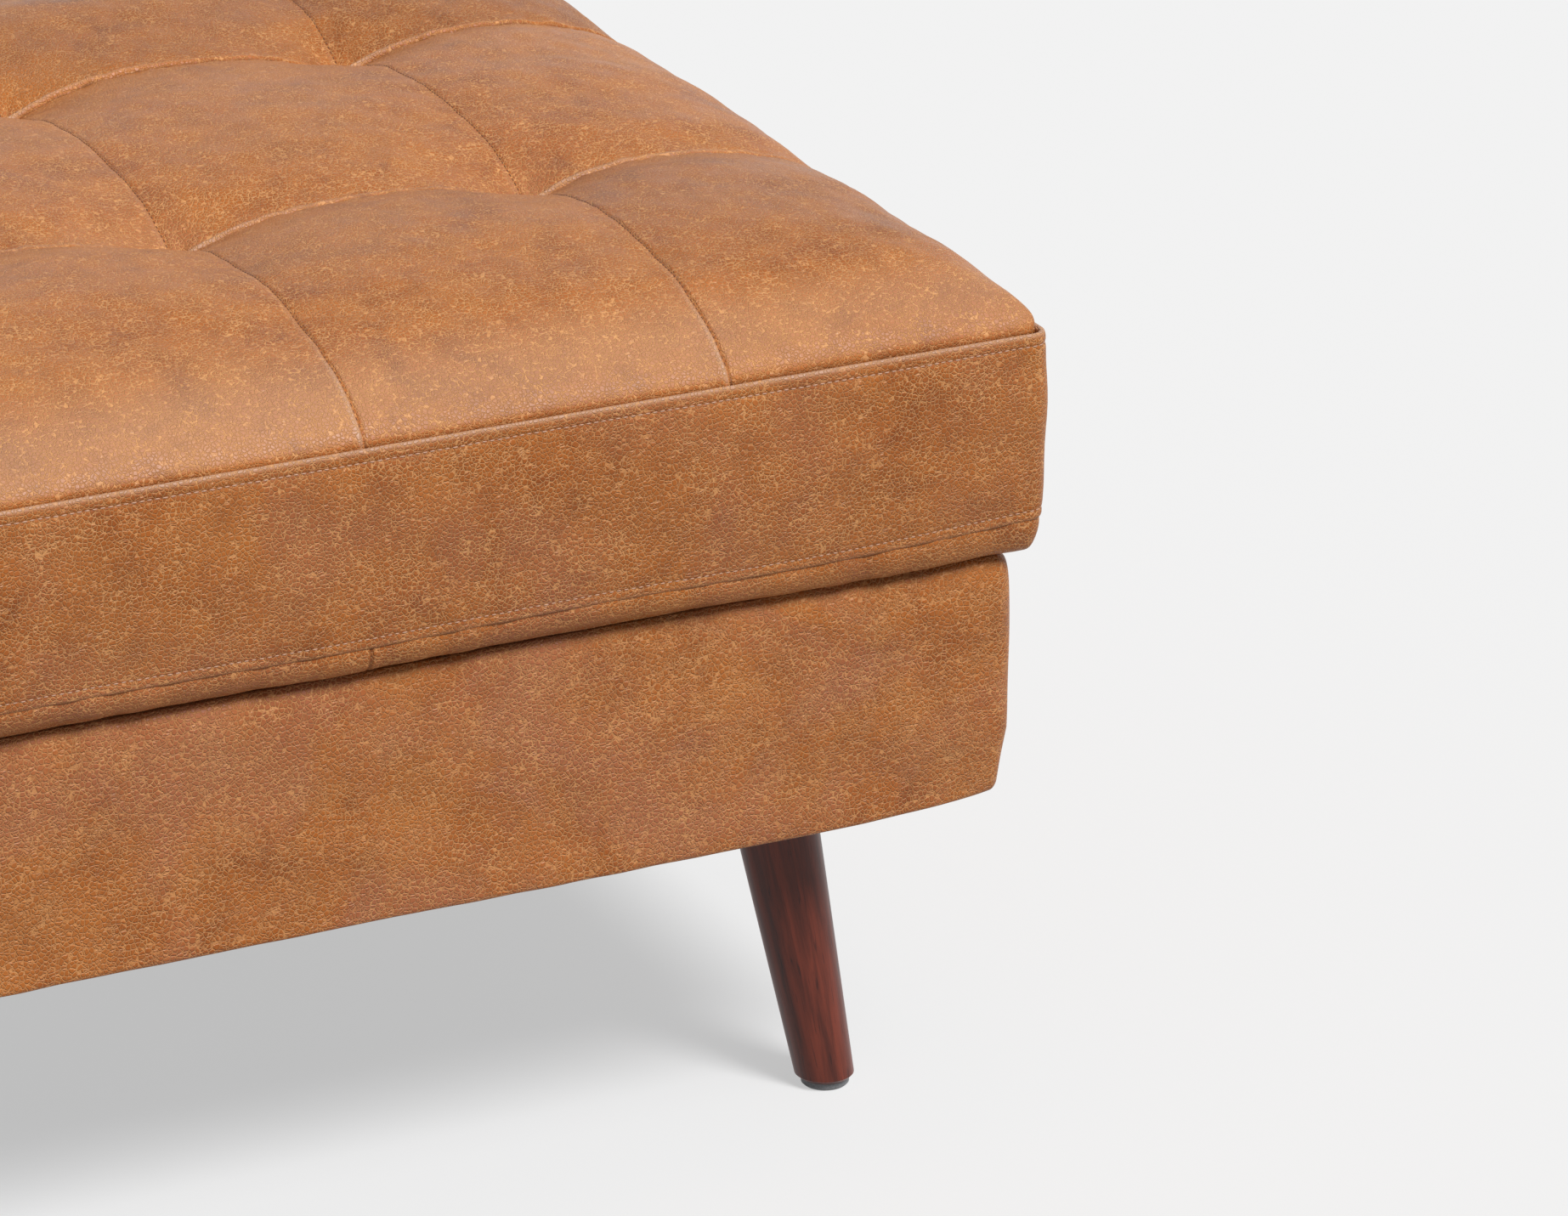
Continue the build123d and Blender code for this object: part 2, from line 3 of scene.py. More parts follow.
import bpy
import numpy as np
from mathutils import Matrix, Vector


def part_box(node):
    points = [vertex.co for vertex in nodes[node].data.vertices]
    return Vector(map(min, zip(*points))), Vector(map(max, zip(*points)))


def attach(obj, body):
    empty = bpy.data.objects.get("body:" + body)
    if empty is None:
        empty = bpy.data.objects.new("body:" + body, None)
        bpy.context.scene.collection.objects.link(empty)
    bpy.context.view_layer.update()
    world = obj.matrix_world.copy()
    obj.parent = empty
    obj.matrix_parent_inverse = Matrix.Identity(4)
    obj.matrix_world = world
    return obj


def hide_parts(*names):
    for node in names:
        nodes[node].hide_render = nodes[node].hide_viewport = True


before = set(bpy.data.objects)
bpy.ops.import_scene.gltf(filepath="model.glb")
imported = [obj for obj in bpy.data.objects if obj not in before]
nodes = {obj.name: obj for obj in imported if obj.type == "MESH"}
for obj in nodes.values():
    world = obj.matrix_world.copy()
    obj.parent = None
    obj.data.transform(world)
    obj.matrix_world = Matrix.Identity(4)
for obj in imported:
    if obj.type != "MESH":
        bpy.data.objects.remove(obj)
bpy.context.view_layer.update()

# The camera: a long lens from the front left, looking down on the near right corner, level and
# unshifted, at the angle that the photograph was taken from.
camera_place = Vector((-1.1987, -3.3733, 1.6651))
camera_pitch, camera_turn = math.radians(22.07), math.radians(26.36)
sensor_width, lens_length, sight_limit = 36, 177.8, 100


def placed(name, data):
    """Adds an object to the scene."""
    made = bpy.data.objects.new(name, data)
    bpy.context.scene.collection.objects.link(made)
    return made


camera_data = bpy.data.cameras.new("camera")
camera_data.sensor_width = sensor_width
camera_data.lens = lens_length
camera_data.clip_end = sight_limit
camera = placed("camera", camera_data)
camera.location = camera_place
camera.rotation_euler = (math.radians(90) - camera_pitch, 0, -camera_turn)
bpy.context.scene.camera = camera
bpy.context.scene.view_settings.view_transform = "Standard"

# The studio: an even pale floor under a pale sky, and two broad lamps from the front right, above,
# that throw the ottoman's shadow back and to the left. Each lamp's share is the light that it gives
# a level surface, and the sky gives the rest of 1. From below, the floor is clear.
floor_seen, floor_bounce = 0.887, 0.34
shadow_depth = 0.44
floor_reach = 30.0
soft_lamps = (("key_lamp", 0.55, math.radians(19), (0.30, -0.80, 1.0)),
              ("fill_lamp", 0.22, math.radians(30), (0.26, -0.73, 1.0)))
sky_strength = 1 - sum(share for _, share, _, _ in soft_lamps)


def node(tree, kind, **settings):
    """Adds a shader node of a kind; plain settings are its properties, and those named in_0, in_1
    and so on are the sockets' values or the sockets that feed them."""
    made = tree.nodes.new("ShaderNode" + kind)
    for name, value in settings.items():
        if name.startswith("in_"):
            key = name[3:]
            entry = made.inputs[int(key)] if key.isdigit() else made.inputs[key.replace("_", " ")]
            if isinstance(value, bpy.types.NodeSocket):
                tree.links.new(value, entry)
            else:
                entry.default_value = value
        else:
            setattr(made, name, value)
    return made


def new_material(name):
    """An empty node material with its output node."""
    made = bpy.data.materials.new(name)
    made.use_nodes = True
    made.node_tree.nodes.clear()
    return made, made.node_tree, made.node_tree.nodes.new("ShaderNodeOutputMaterial")


def shown(tree):
    """1 for the rays that show a surface, straight, in gloss or through glass, and 0 for those that
    only carry its light."""
    path = node(tree, "LightPath")
    gloss = node(tree, "Math", operation="MAXIMUM",
                 in_0=path.outputs["Is Camera Ray"], in_1=path.outputs["Is Glossy Ray"])
    return node(tree, "Math", operation="MAXIMUM",
                in_0=gloss.outputs[0], in_1=path.outputs["Is Transmission Ray"]).outputs[0]


floor_material, tree, out = new_material("studio_floor")
bounce = node(tree, "BsdfDiffuse", in_Color=(floor_bounce, floor_bounce, floor_bounce, 1))
shadowed = floor_seen * shadow_depth
catcher = node(tree, "BsdfDiffuse", in_Color=(shadowed, shadowed, shadowed, 1))
glow = node(tree, "Emission", in_Strength=floor_seen - shadowed)
seen_floor = node(tree, "AddShader", in_0=catcher.outputs[0], in_1=glow.outputs[0])
top_side = node(tree, "MixShader", in_0=shown(tree), in_1=bounce.outputs[0],
                in_2=seen_floor.outputs[0])
from_below = node(tree, "NewGeometry").outputs["Backfacing"]
floor_shade = node(tree, "MixShader", in_0=from_below, in_1=top_side.outputs[0],
                   in_2=node(tree, "BsdfTransparent").outputs[0])
tree.links.new(floor_shade.outputs[0], out.inputs[0])
floor_mesh = bpy.data.meshes.new("studio_floor")
floor_corners = [(x * floor_reach, y * floor_reach, 0)
                 for x, y in ((-1, -1), (1, -1), (1, 1), (-1, 1))]
floor_mesh.from_pydata(floor_corners, [], [(0, 1, 2, 3)])
floor_mesh.materials.append(floor_material)
floor = placed("studio_floor", floor_mesh)

world = bpy.data.worlds.new("sky")
world.use_nodes = True
tree = world.node_tree
tree.nodes.clear()
strength = node(tree, "Math", operation="MULTIPLY_ADD", in_0=shown(tree),
                in_1=floor_seen - sky_strength, in_2=sky_strength)
sky = node(tree, "Background", in_Strength=strength.outputs[0])
sky.inputs["Color"].default_value = (1, 1, 1, 1)
tree.links.new(sky.outputs[0], tree.nodes.new("ShaderNodeOutputWorld").inputs[0])
bpy.context.scene.world = world

for name, share, width, toward in soft_lamps:
    lamp_data = bpy.data.lights.new(name, "SUN")
    lamp_data.energy = share * math.pi * Vector(toward).length
    lamp_data.angle = width
    lamp = placed(name, lamp_data)
    lamp.rotation_euler = Vector(toward).to_track_quat("Z", "Y").to_euler()

# The cushion's top: five by three leather panels sewn together, stuffed from below and pulled
# down at eight crossings by ties through the foam, so that each panel stands up as a puff.
band_low, band_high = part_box("side_band")
leather = 0.0014
seam_level = band_high.z + leather
half_width, half_depth = 0.4445, 0.343
end_panel_width, end_panel_depth = 0.167, 0.229
inner_columns = 3
cushion_corner = 0.009
crown_height, crown_run = 0.052, 0.18
roll_power, roll_fullness, end_fullness, corner_power = 2.2, 0.62, 0.46, 5
row_dip, column_dip, tuft_dip = 0.010, 0.005, 0.020
row_reach, column_reach, tuft_reach = 0.035, 0.030, 0.040
broad_wave, fine_wave = 0.0007, 0.0003
ridge_reach, edge_reach = 0.075, 0.05
row_lip_off, row_groove, row_lip = 0.0022, (0.0010, 0.0012, 0.0010), (0.0001, 0.0015, 0.0012)
column_lip_off, column_groove = -0.0021, (0.0005, 0.0010, 0.9 * 0.0010)
column_lip = (0, 0.0004, 0.0013)
row_pucker, row_pucker_reach = 0.0005, 0.010
column_pucker, column_pucker_reach = 0.0003, 0.008
pleat_height, fine_pleat_height, pleat_mean = 0.0013, 0.0007, 0.76
pleat_start, pleat_reach, rim_reach = 0.005, 0.022, 0.012
pleat_turns, fine_pleat_turns, pleat_lean = 4.5, 7.5, 0.5
fold_width, tuck, skirt_drop = 0.0036, 0.0010, 0.004
fine_step, coarse_step, fine_reach = 0.0006, 0.0034, 0.0045

inner_width = (2 * half_width - 2 * end_panel_width) / inner_columns
seam_xs = -half_width + end_panel_width + inner_width * np.arange(inner_columns + 1)
seam_ys = np.array([-1, 1]) * (half_depth - end_panel_depth)


def spaced(low, high, stops, fine, coarse, reach):
    """Places from low to high whose steps are fine within reach of the stops and grow to coarse
    away from them."""
    fan = np.linspace(low, high, 8001)
    nearest = np.min(np.abs(fan[:, None] - np.array([*stops, high + 1])[None, :]), axis=1)
    step = fine + (coarse - fine) * np.clip((nearest - reach) / (2 * reach), 0, 1)
    count = np.concatenate([[0], np.cumsum(np.diff(fan) / (0.5 * (step[1:] + step[:-1])))])
    places = int(round(count[-1])) + 1
    return np.interp(np.linspace(0, count[-1], places), count, fan)


def rise(inside, fullness):
    """Share of the crown's full height at a distance in from an edge: a steep roll, then a long
    slope, as a power of one less a power of the share of the run still to go."""
    away = 1 - np.clip(inside / crown_run, 0, 1)
    return (1 - away ** roll_power) ** fullness


def waves(x, y, seed, spans, z=0.0):
    """Smooth irregular field between about -1 and 1: a sum of sines of the given wavelengths, each
    in a few directions and phases drawn from the seed."""
    draw = np.random.default_rng(seed)
    total, weight = 0, 0
    for span in spans:
        for _ in range(5):
            direction = draw.normal(size=3)
            direction /= np.linalg.norm(direction)
            phase = draw.uniform(0, 2 * math.pi)
            along = x * direction[0] + y * direction[1] + z * direction[2]
            total = total + np.sin(2 * math.pi * along / (span * draw.uniform(0.7, 1.4)) + phase)
            weight += 1
    return total / math.sqrt(weight)


def fall(away, reach):
    """1 at the place, falling off as an exponential of the distance from it."""
    return np.exp(-np.abs(away) / reach)


def bell(off, reach):
    """1 at the middle, falling to nothing past the reach, as the square's exponential."""
    return np.exp(-(off / reach) ** 2)


def crown(x, y):
    """Height of the leather over its edge seam: the smaller of the two rises from the edges,
    rounded where they meet, less a valley along each seam and a funnel at each tuft."""
    x_rise = np.maximum(rise(half_width - np.abs(x), end_fullness), 1e-3)
    y_rise = np.maximum(rise(half_depth - np.abs(y), roll_fullness), 1e-3)
    both = x_rise ** -corner_power + y_rise ** -corner_power - 1
    height = crown_height / both ** (1 / corner_power)
    for seam_y in seam_ys:
        height = height - row_dip * x_rise * fall(y - seam_y, row_reach)
    for seam_x in seam_xs:
        height = height - column_dip * y_rise ** 2 * fall(x - seam_x, column_reach)
        for seam_y in seam_ys:
            height = height - tuft_dip * fall(np.hypot(x - seam_x, y - seam_y), tuft_reach)
    return height


def past_tuft(x):
    """1 beside a tuft, falling off to the right of it up to the next one."""
    starts = np.array([-half_width, *seam_xs])
    last = np.clip(np.searchsorted(starts, x, "right") - 1, 0, None)
    return fall(x - starts[last], ridge_reach)


def near_edge(y):
    """1 at the front and back edges, falling off inwards."""
    return fall(half_depth - np.abs(y), edge_reach)


def with_seam(field, off, near, lip_off, groove, lip):
    """A field of heights or tones with a seam in it, by the distance off the seam: a groove is
    taken off and a lip beside it added, each as its share everywhere, its further share where near
    is 1, and its reach."""
    field = field - (groove[0] + groove[1] * near) * bell(off, groove[2])
    return field + (lip[0] + lip[1] * near) * bell(off - lip_off, lip[2])


def sewn(x, y):
    """What filling and sewing add to the crown: broad and fine waves, a groove and a lip along each
    seam, which are deeper by the tufts or the edges, puckers across the seams, and pleats that fan
    out from each tuft as sharp valleys between round ridges, by the roots of two sines of the
    angle."""
    add = broad_wave * waves(x, y, 3, (0.11, 0.06)) + fine_wave * waves(x, y, 4, (0.03, 0.018))
    inside = np.minimum(half_width - np.abs(x), half_depth - np.abs(y))
    for seam_y in seam_ys:
        off = y - seam_y
        add = with_seam(add, off, past_tuft(x), row_lip_off, row_groove, row_lip)
        puckers = row_pucker * waves(x, off, 5, (0.014, 0.009))
        add = add + puckers * fall(off, row_pucker_reach)
    for seam_x in seam_xs:
        off = x - seam_x
        add = with_seam(add, off, near_edge(y), column_lip_off, column_groove, column_lip)
        puckers = column_pucker * waves(off, y, 6, (0.012, 0.008))
        add = add + puckers * fall(off, column_pucker_reach)
    for i, seam_x in enumerate(seam_xs):
        for j, seam_y in enumerate(seam_ys):
            away = np.hypot(x - seam_x, y - seam_y)
            turn = np.arctan2(y - seam_y, x - seam_x)
            lean = pleat_lean * waves(x, y, 7 + i + 4 * j, (0.05,))
            ridges = np.sqrt(np.abs(np.sin(pleat_turns * turn + 1.3 * i + 2.1 * j + lean)))
            finer = np.sqrt(np.abs(np.sin(fine_pleat_turns * turn - 2.7 * i + j - lean)))
            pleats = (pleat_height * (ridges - pleat_mean)
                      + fine_pleat_height * (finer - pleat_mean))
            add = add + pleats * fall(away, pleat_reach) * (1 - fall(away, pleat_start))
    return add * np.clip(inside / rim_reach, 0, 1)


def rounded(x, y, half_x, half_y, corner):
    """Moves places in a rectangle so that its square corners become quarter circles: in each
    corner square, each coordinate shrinks by the root of one less half the other's square."""
    u = np.clip((np.abs(x) - half_x + corner) / corner, 0, 1)
    v = np.clip((np.abs(y) - half_y + corner) / corner, 0, 1)
    new_u, new_v = u * np.sqrt(1 - v ** 2 / 2), v * np.sqrt(1 - u ** 2 / 2)
    return x + np.sign(x) * corner * (new_u - u), y + np.sign(y) * corner * (new_v - v)


def grid_faces(rows, columns):
    """Quads of a grid of points numbered row by row."""
    near = (np.arange(rows - 1)[:, None] * columns + np.arange(columns - 1)[None, :]).reshape(-1)
    return np.stack([near, near + columns, near + columns + 1, near + 1], -1)


def mesh_piece(name, points, faces, body, slot, material, worn=None):
    """A smooth mesh object from points and faces, riding on a body, with its material; the slot is
    not used.
    Its last argument is 1 where wear and painted highlights pale the leather, and -1 where painted
    shade darkens it, as down in a seam."""
    made = bpy.data.meshes.new(name)
    polygons = [list(map(int, face)) for face in faces]
    made.from_pydata(np.asarray(points).reshape(-1, 3).tolist(), [], polygons)
    made.polygons.foreach_set("use_smooth", np.ones(len(made.polygons), bool))
    if worn is not None:
        share = made.attributes.new("worn", "FLOAT", "POINT")
        share.data.foreach_set("value", np.asarray(worn, float).ravel())
    made.materials.append(material)
    made.validate()
    made.update()
    piece = placed(name, made)
    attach(piece, body)
    return piece


class Pattern:
    """A shader node group under construction: its inputs by name, its outputs, and the small steps
    that its pattern is put together from."""

    def __init__(self, name, inputs, outputs):
        self.group = bpy.data.node_groups.new(name, "ShaderNodeTree")
        sockets = self.group.interface
        for title, value in inputs.items():
            made = sockets.new_socket(name=title, in_out="INPUT", socket_type="NodeSocketFloat")
            made.default_value = value
        for title in outputs:
            kind = "NodeSocketColor" if title == "Color" else "NodeSocketFloat"
            sockets.new_socket(name=title, in_out="OUTPUT", socket_type=kind)
        self.ins = self.group.nodes.new("NodeGroupInput").outputs
        self.outs = self.group.nodes.new("NodeGroupOutput").inputs
        self.place = node(self.group, "TexCoord").outputs["Object"]

    def give(self, title, value):
        """Links a value to an output."""
        self.group.links.new(value, self.outs[title])

    def noise(self, scale, detail, rough=0.5, distortion=0.0, at=None, part="Fac"):
        """Noise at the place or at another one, scale to the metre."""
        made = node(self.group, "TexNoise", in_Vector=at or self.place, in_Scale=scale,
                    in_Detail=detail, in_Roughness=rough, in_Distortion=distortion)
        return made.outputs[part]

    def ranged(self, value, low, high, to_low=0.0, to_high=1.0):
        """A value between low and high, eased to a new range."""
        made = node(self.group, "MapRange", interpolation_type="SMOOTHSTEP", in_0=value,
                    in_1=low, in_2=high, in_3=to_low, in_4=to_high)
        return made.outputs[0]

    def math(self, kind, a, b=0.0):
        """One step of arithmetic."""
        return node(self.group, "Math", operation=kind, in_0=a, in_1=b).outputs[0]

    def vector(self, kind, a, b):
        """One step of arithmetic on vectors."""
        return node(self.group, "VectorMath", operation=kind, in_0=a, in_1=b).outputs[0]

    def mixed(self, factor, a, b):
        """Colour a, going over to b by a factor."""
        made = node(self.group, "Mix", data_type="RGBA", in_0=factor, in_6=a, in_7=b)
        return made.outputs[2]

    def shifted(self, scale, amount):
        """The place, moved about by a coloured noise."""
        wander = self.vector("SUBTRACT", self.noise(scale, 2, part="Color"), (0.5, 0.5, 0.5))
        move = self.vector("MULTIPLY", wander, (amount, amount, amount))
        return self.vector("ADD", self.place, move)

    def net(self, scale, at, width):
        """Lines between the cells of a Voronoi texture."""
        cells = node(self.group, "TexVoronoi", feature="DISTANCE_TO_EDGE",
                     in_Vector=at, in_Scale=scale)
        return self.ranged(cells.outputs["Distance"], 0.0, width, 1.0, 0.0)

    def veins(self, scale, detail, width, distortion):
        """Long lines where a noise passes through its middle value."""
        middle = self.math("SUBTRACT", self.noise(scale, detail, 0.55, distortion), 0.5)
        return self.ranged(self.math("ABSOLUTE", middle), 0.0, width, 1.0, 0.0)


spot_deep, spot_pale = (0.225, 0.050, 0.007, 1), (0.440, 0.122, 0.018, 1)
fleck_tan, cloud_tan = (0.500, 0.154, 0.026, 1), (0.590, 0.202, 0.042, 1)
mauve_tan, line_tan = (0.420, 0.142, 0.070, 1), (0.800, 0.395, 0.150, 1)
wear_and_sheen_tan = (0.640, 0.420, 0.295, 1)
painted_shade_tan, tone_and_shade_brown = (0.180, 0.040, 0.008, 1), (0.100, 0.028, 0.008, 1)


def leather_pattern():
    """Pull-up leather: clouds and spots of deep and pale tan, a net of fine pale lines between
    darker grains, longer creases that come and go, mauve patches, paler places from wear and from
    painted highlights and sheen, and darker places from painted shade in seams and hollows. It puts
    out a colour, a roughness and a height."""
    p = Pattern("tan_leather_pattern",
                {"Grain": 500.0, "Net": 0.5, "Crease": 0.5, "Red": 0.5, "Deep": 0.0, "Worn": 0.0},
                ("Color", "Roughness", "Height"))
    clouds = p.ranged(p.noise(15, 3, 0.5, 0.8), 0.32, 0.68)
    spots = p.ranged(p.noise(44, 4, 0.60, 0.5), 0.26, 0.66)
    flecks = p.ranged(p.noise(150, 3, 0.7), 0.36, 0.64)
    mauve = p.ranged(p.noise(12, 4, 0.6, 0.6), 0.42, 0.70)
    colour = p.mixed(spots, spot_deep, spot_pale)
    colour = p.mixed(p.math("MULTIPLY", flecks, 0.30), colour, fleck_tan)
    colour = p.mixed(p.math("MULTIPLY", clouds, 0.42), colour, cloud_tan)
    colour = p.mixed(p.math("MULTIPLY", mauve, p.ins["Red"]), colour, mauve_tan)
    fine_lines = p.net(p.ins["Grain"], p.shifted(300, 0.0016), 0.17)
    fine_patches = p.ranged(p.noise(60, 3, 0.6), 0.30, 0.70, 0.55, 1.0)
    fine_share = p.math("MULTIPLY", fine_patches, p.ins["Net"])
    creases = p.math("MULTIPLY", p.net(250, p.shifted(110, 0.010), 0.09), 0.25)
    long_veins = p.math("MAXIMUM", p.veins(58, 3, 0.013, 0.9), p.veins(125, 3, 0.022, 0.6))
    either = p.math("MAXIMUM", creases, p.math("MULTIPLY", long_veins, 0.75))
    patchy = p.ranged(p.noise(26, 4, 0.65), 0.40, 0.64)
    veins = p.math("MULTIPLY", either, p.math("MULTIPLY", patchy, p.ins["Crease"]))
    lines = p.math("MAXIMUM", veins, p.math("MULTIPLY", fine_lines, fine_share))
    # Above 0 the attribute pales the leather, for wear and for painted highlights and sheen; below
    # 0 it darkens it with painted shade, and with the panels' own darker tones.
    worn = p.math("MINIMUM", p.math("MAXIMUM", p.ins["Worn"], 0.0), 1.0)
    seam = p.math("MINIMUM", p.math("MULTIPLY", p.ins["Worn"], -1.0), 1.0)
    colour = p.mixed(p.math("MULTIPLY", worn, 0.75), colour, wear_and_sheen_tan)
    colour = p.mixed(lines, colour, line_tan)
    # Deep mixes in painted shade, for sides that get less light than the top.
    colour = p.mixed(p.ins["Deep"], colour, painted_shade_tan)
    colour = p.mixed(p.math("MAXIMUM", seam, 0.0), colour, tone_and_shade_brown)
    p.give("Color", colour)
    p.give("Roughness", p.ranged(p.noise(60, 3), 0.3, 0.7, 0.34, 0.46))
    height = p.math("MULTIPLY", fine_lines, -0.8)
    height = p.math("ADD", height, p.math("MULTIPLY", p.noise(700, 2), 0.4))
    height = p.math("SUBTRACT", height, p.math("MULTIPLY", veins, 0.6))
    p.give("Height", height)
    return p.group


tan_leather_pattern = leather_pattern()


def leather_material(name, grain, net, crease, red, deep):
    """Leather with its own grains to the metre and shares of fine lines, of creases, of reddish
    clouds and of a darker tone, which is painted shade for surfaces that get less light."""
    made, tree, out = new_material(name)
    worn = node(tree, "Attribute", attribute_name="worn")
    pattern = node(tree, "Group", node_tree=tan_leather_pattern, in_Grain=grain,
                   in_Net=net, in_Crease=crease, in_Red=red, in_Deep=deep,
                   in_Worn=worn.outputs["Fac"])
    bump = node(tree, "Bump", in_Strength=0.80, in_Distance=0.0006,
                in_Height=pattern.outputs["Height"])
    shade = node(tree, "BsdfPrincipled", in_Base_Color=pattern.outputs["Color"],
                 in_Roughness=pattern.outputs["Roughness"], in_Normal=bump.outputs[0])
    shade.inputs["Specular IOR Level"].default_value = 0.27
    tree.links.new(shade.outputs[0], out.inputs[0])
    return made


top_leather = leather_material("top_leather", grain=500.0, net=0.85, crease=0.40, red=0.25,
                               deep=0.02)
plan_x, plan_y = half_width - fold_width, half_depth - fold_width
line_x = spaced(-plan_x, plan_x, [-plan_x, *seam_xs, plan_x], fine_step, coarse_step, fine_reach)
line_y = spaced(-plan_y, plan_y, [-plan_y, *seam_ys, plan_y], fine_step, coarse_step, fine_reach)
grid_x, grid_y = np.meshgrid(line_x, line_y, indexing="ij")
flat_x, flat_y = rounded(grid_x, grid_y, plan_x, plan_y, cushion_corner)
height = seam_level - tuck + crown(grid_x * half_width / plan_x, grid_y * half_depth / plan_y)
top_points = np.stack([flat_x, flat_y, height + sewn(grid_x, grid_y)], -1)

# The tones carried to the top's leather: the panels differ at random, while the back row and the
# right end are darker as painted shade. The seams' grooves, the rim's crease and the hidden skirt
# get painted shade, and the seams' lips, the slope behind each tuft and the front roll are paled
# with painted highlights and sheen.
tone_spread, back_painted_shade, end_painted_shade = 0.07, 0.20, 0.08
tuft_sheen, tuft_sheen_off, tuft_sheen_reach = 0.25, 0.008, 0.018
roll_sheen, roll_sheen_in, roll_sheen_width = 0.48, 0.020, 0.030
rim_shade, rim_shade_reach, skirt_shade = 0.8, 0.0009, 0.5
row_groove_shade, row_lip_highlight = (0.3, 0.5, 0.0008), (0.1, 1.0, 0.0014)
column_groove_shade, column_lip_highlight = (0.15, 0.6, 0.0007), (0.15, 0.5, 0.0013)
panel_count = (len(seam_xs) + 1, len(seam_ys) + 1)
panel_tone_and_shade = np.random.default_rng(17).uniform(-tone_spread, tone_spread, panel_count)
panel_tone_and_shade[:, -1] -= back_painted_shade
panel_tone_and_shade[-1] -= end_painted_shade
shade = panel_tone_and_shade[np.searchsorted(seam_xs, grid_x), np.searchsorted(seam_ys, grid_y)]
# Each seam's groove is darkened with painted shade and its lip paled with a painted highlight, most
# beside the tufts and the edges.
for seam_y in seam_ys:
    shade = with_seam(shade, grid_y - seam_y, past_tuft(grid_x), row_lip_off, row_groove_shade, row_lip_highlight)
for seam_x in seam_xs:
    off = grid_x - seam_x
    shade = with_seam(shade, off, near_edge(grid_y), column_lip_off, column_groove_shade, column_lip_highlight)
    # A painted highlight on the slope just behind each tuft.
    for seam_y in seam_ys:
        away = np.hypot(off, grid_y - seam_y - tuft_sheen_off)
        shade = shade + tuft_sheen * fall(away, tuft_sheen_reach)
rim_away = np.minimum(plan_x - np.abs(grid_x), plan_y - np.abs(grid_y))
shade = shade - rim_shade * fall(rim_away, rim_shade_reach)
# A painted sheen along the front roll.
shade = shade + roll_sheen * bell(half_depth + grid_y - roll_sheen_in, roll_sheen_width)

rows, columns = grid_x.shape
number = np.arange(rows * columns).reshape(rows, columns)
rim = np.concatenate([number[:-1, 0], number[-1, :-1], number[:0:-1, -1], number[0, :0:-1]])
rim_low = top_points.reshape(-1, 3)[rim] * (1, 1, 0) + (0, 0, band_high.z - skirt_drop)
rim_number = rows * columns + np.arange(len(rim))
skirt = np.stack([rim, rim_number, np.roll(rim_number, -1), np.roll(rim, -1)], -1)
top_faces = grid_faces(rows, columns).tolist() + skirt.tolist() + [rim_number[::-1].tolist()]
cushion_top = mesh_piece("cushion_top", np.concatenate([top_points.reshape(-1, 3), rim_low]),
                         top_faces, "cushion", "tan_leather", top_leather,
                         np.concatenate([shade.ravel(), np.full(len(rim), -skirt_shade)]))
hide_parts("top_cover", "fibre_wrap")

# The cushion's side band: one long strip of leather sewn to the top, its upper and lower edges
# folded over and topstitched, swelling a little over the foam behind it.
# The band's darker tone is painted shade: it faces the front and gets less light than the top.
side_leather = leather_material("side_leather", grain=480.0, net=0.90, crease=0.12, red=0.50,
                                deep=0.15)
fold_level = band_low.z
band_swell, stitch_drop = 0.0018, 0.0056
belly, row_puckers = 0.0007, 0.00022
fold_wave, corner_lift, corner_reach = 0.0010, 0.0034, 0.09
lip_top, lip_sheen_and_wear_reach, fold_wear, fold_wear_reach = 0.0006, 0.0016, 0.25, 0.0022
upper_row_shade, lower_row_shade, row_shade_reach = 0.18, 0.14, 0.0007


def ring_path(half_x, half_y, corner, step, front_stops=()):
    """Places, outward normals and distances round a rectangle with round corners, as arrays, and
    the corners' radius: straight sides in even steps, finer near the front's stops, and quarter
    circles, against the clock."""
    places, normals = [], []
    centres = ((half_x - corner, -half_y + corner), (half_x - corner, half_y - corner),
               (-half_x + corner, half_y - corner), (-half_x + corner, -half_y + corner))
    bends = 14
    for i, centre in enumerate(centres):
        turns = np.radians(90 * i - 90 + 90 * np.arange(bends + 1) / bends)
        normal = np.stack([np.cos(turns), np.sin(turns)], -1)
        arc = np.array(centre) + corner * normal
        end = np.array(centres[(i + 1) % 4]) + corner * normal[-1]
        length = np.linalg.norm(end - arc[-1])
        stops = [x - arc[-1][0] for x in front_stops] if i == 3 else []
        share = spaced(0, length, stops, 0.0007, step, 0.003)[1:-1, None] / length
        places += [arc, arc[-1] + (end - arc[-1]) * share]
        normals += [normal, np.repeat(normal[-1:], len(share), axis=0)]
    places, normals = np.concatenate(places), np.concatenate(normals)
    steps = np.linalg.norm(np.roll(places, -1, axis=0) - places, axis=1)
    return places, normals, np.concatenate([[0], np.cumsum(steps)]), corner


def carried(path, outs, levels):
    """Surface of a profile carried round a path: outs and levels are the profile's distances out
    from the path and its heights, each with a row for each place on the path or one row for all.
    Further in than most of the corner's radius the outline shrinks along both axes instead, so
    that its corners stay round and don't cross over."""
    places, normals, _, corner = path
    outs = np.broadcast_to(outs, (len(places), np.shape(outs)[-1]))[..., None]
    near = np.maximum(outs, -0.8 * corner)
    half = np.abs(places).max(axis=0)
    flat = (places[:, None] + normals[:, None] * near) * (half + outs) / (half + near)
    levels = np.broadcast_to(levels, flat.shape[:2])
    return np.concatenate([flat, levels[..., None]], -1)


def at_level(level, *points):
    """Points of a profile from their distances out and their heights over a level."""
    return [(out, level + rise) for out, rise in points]


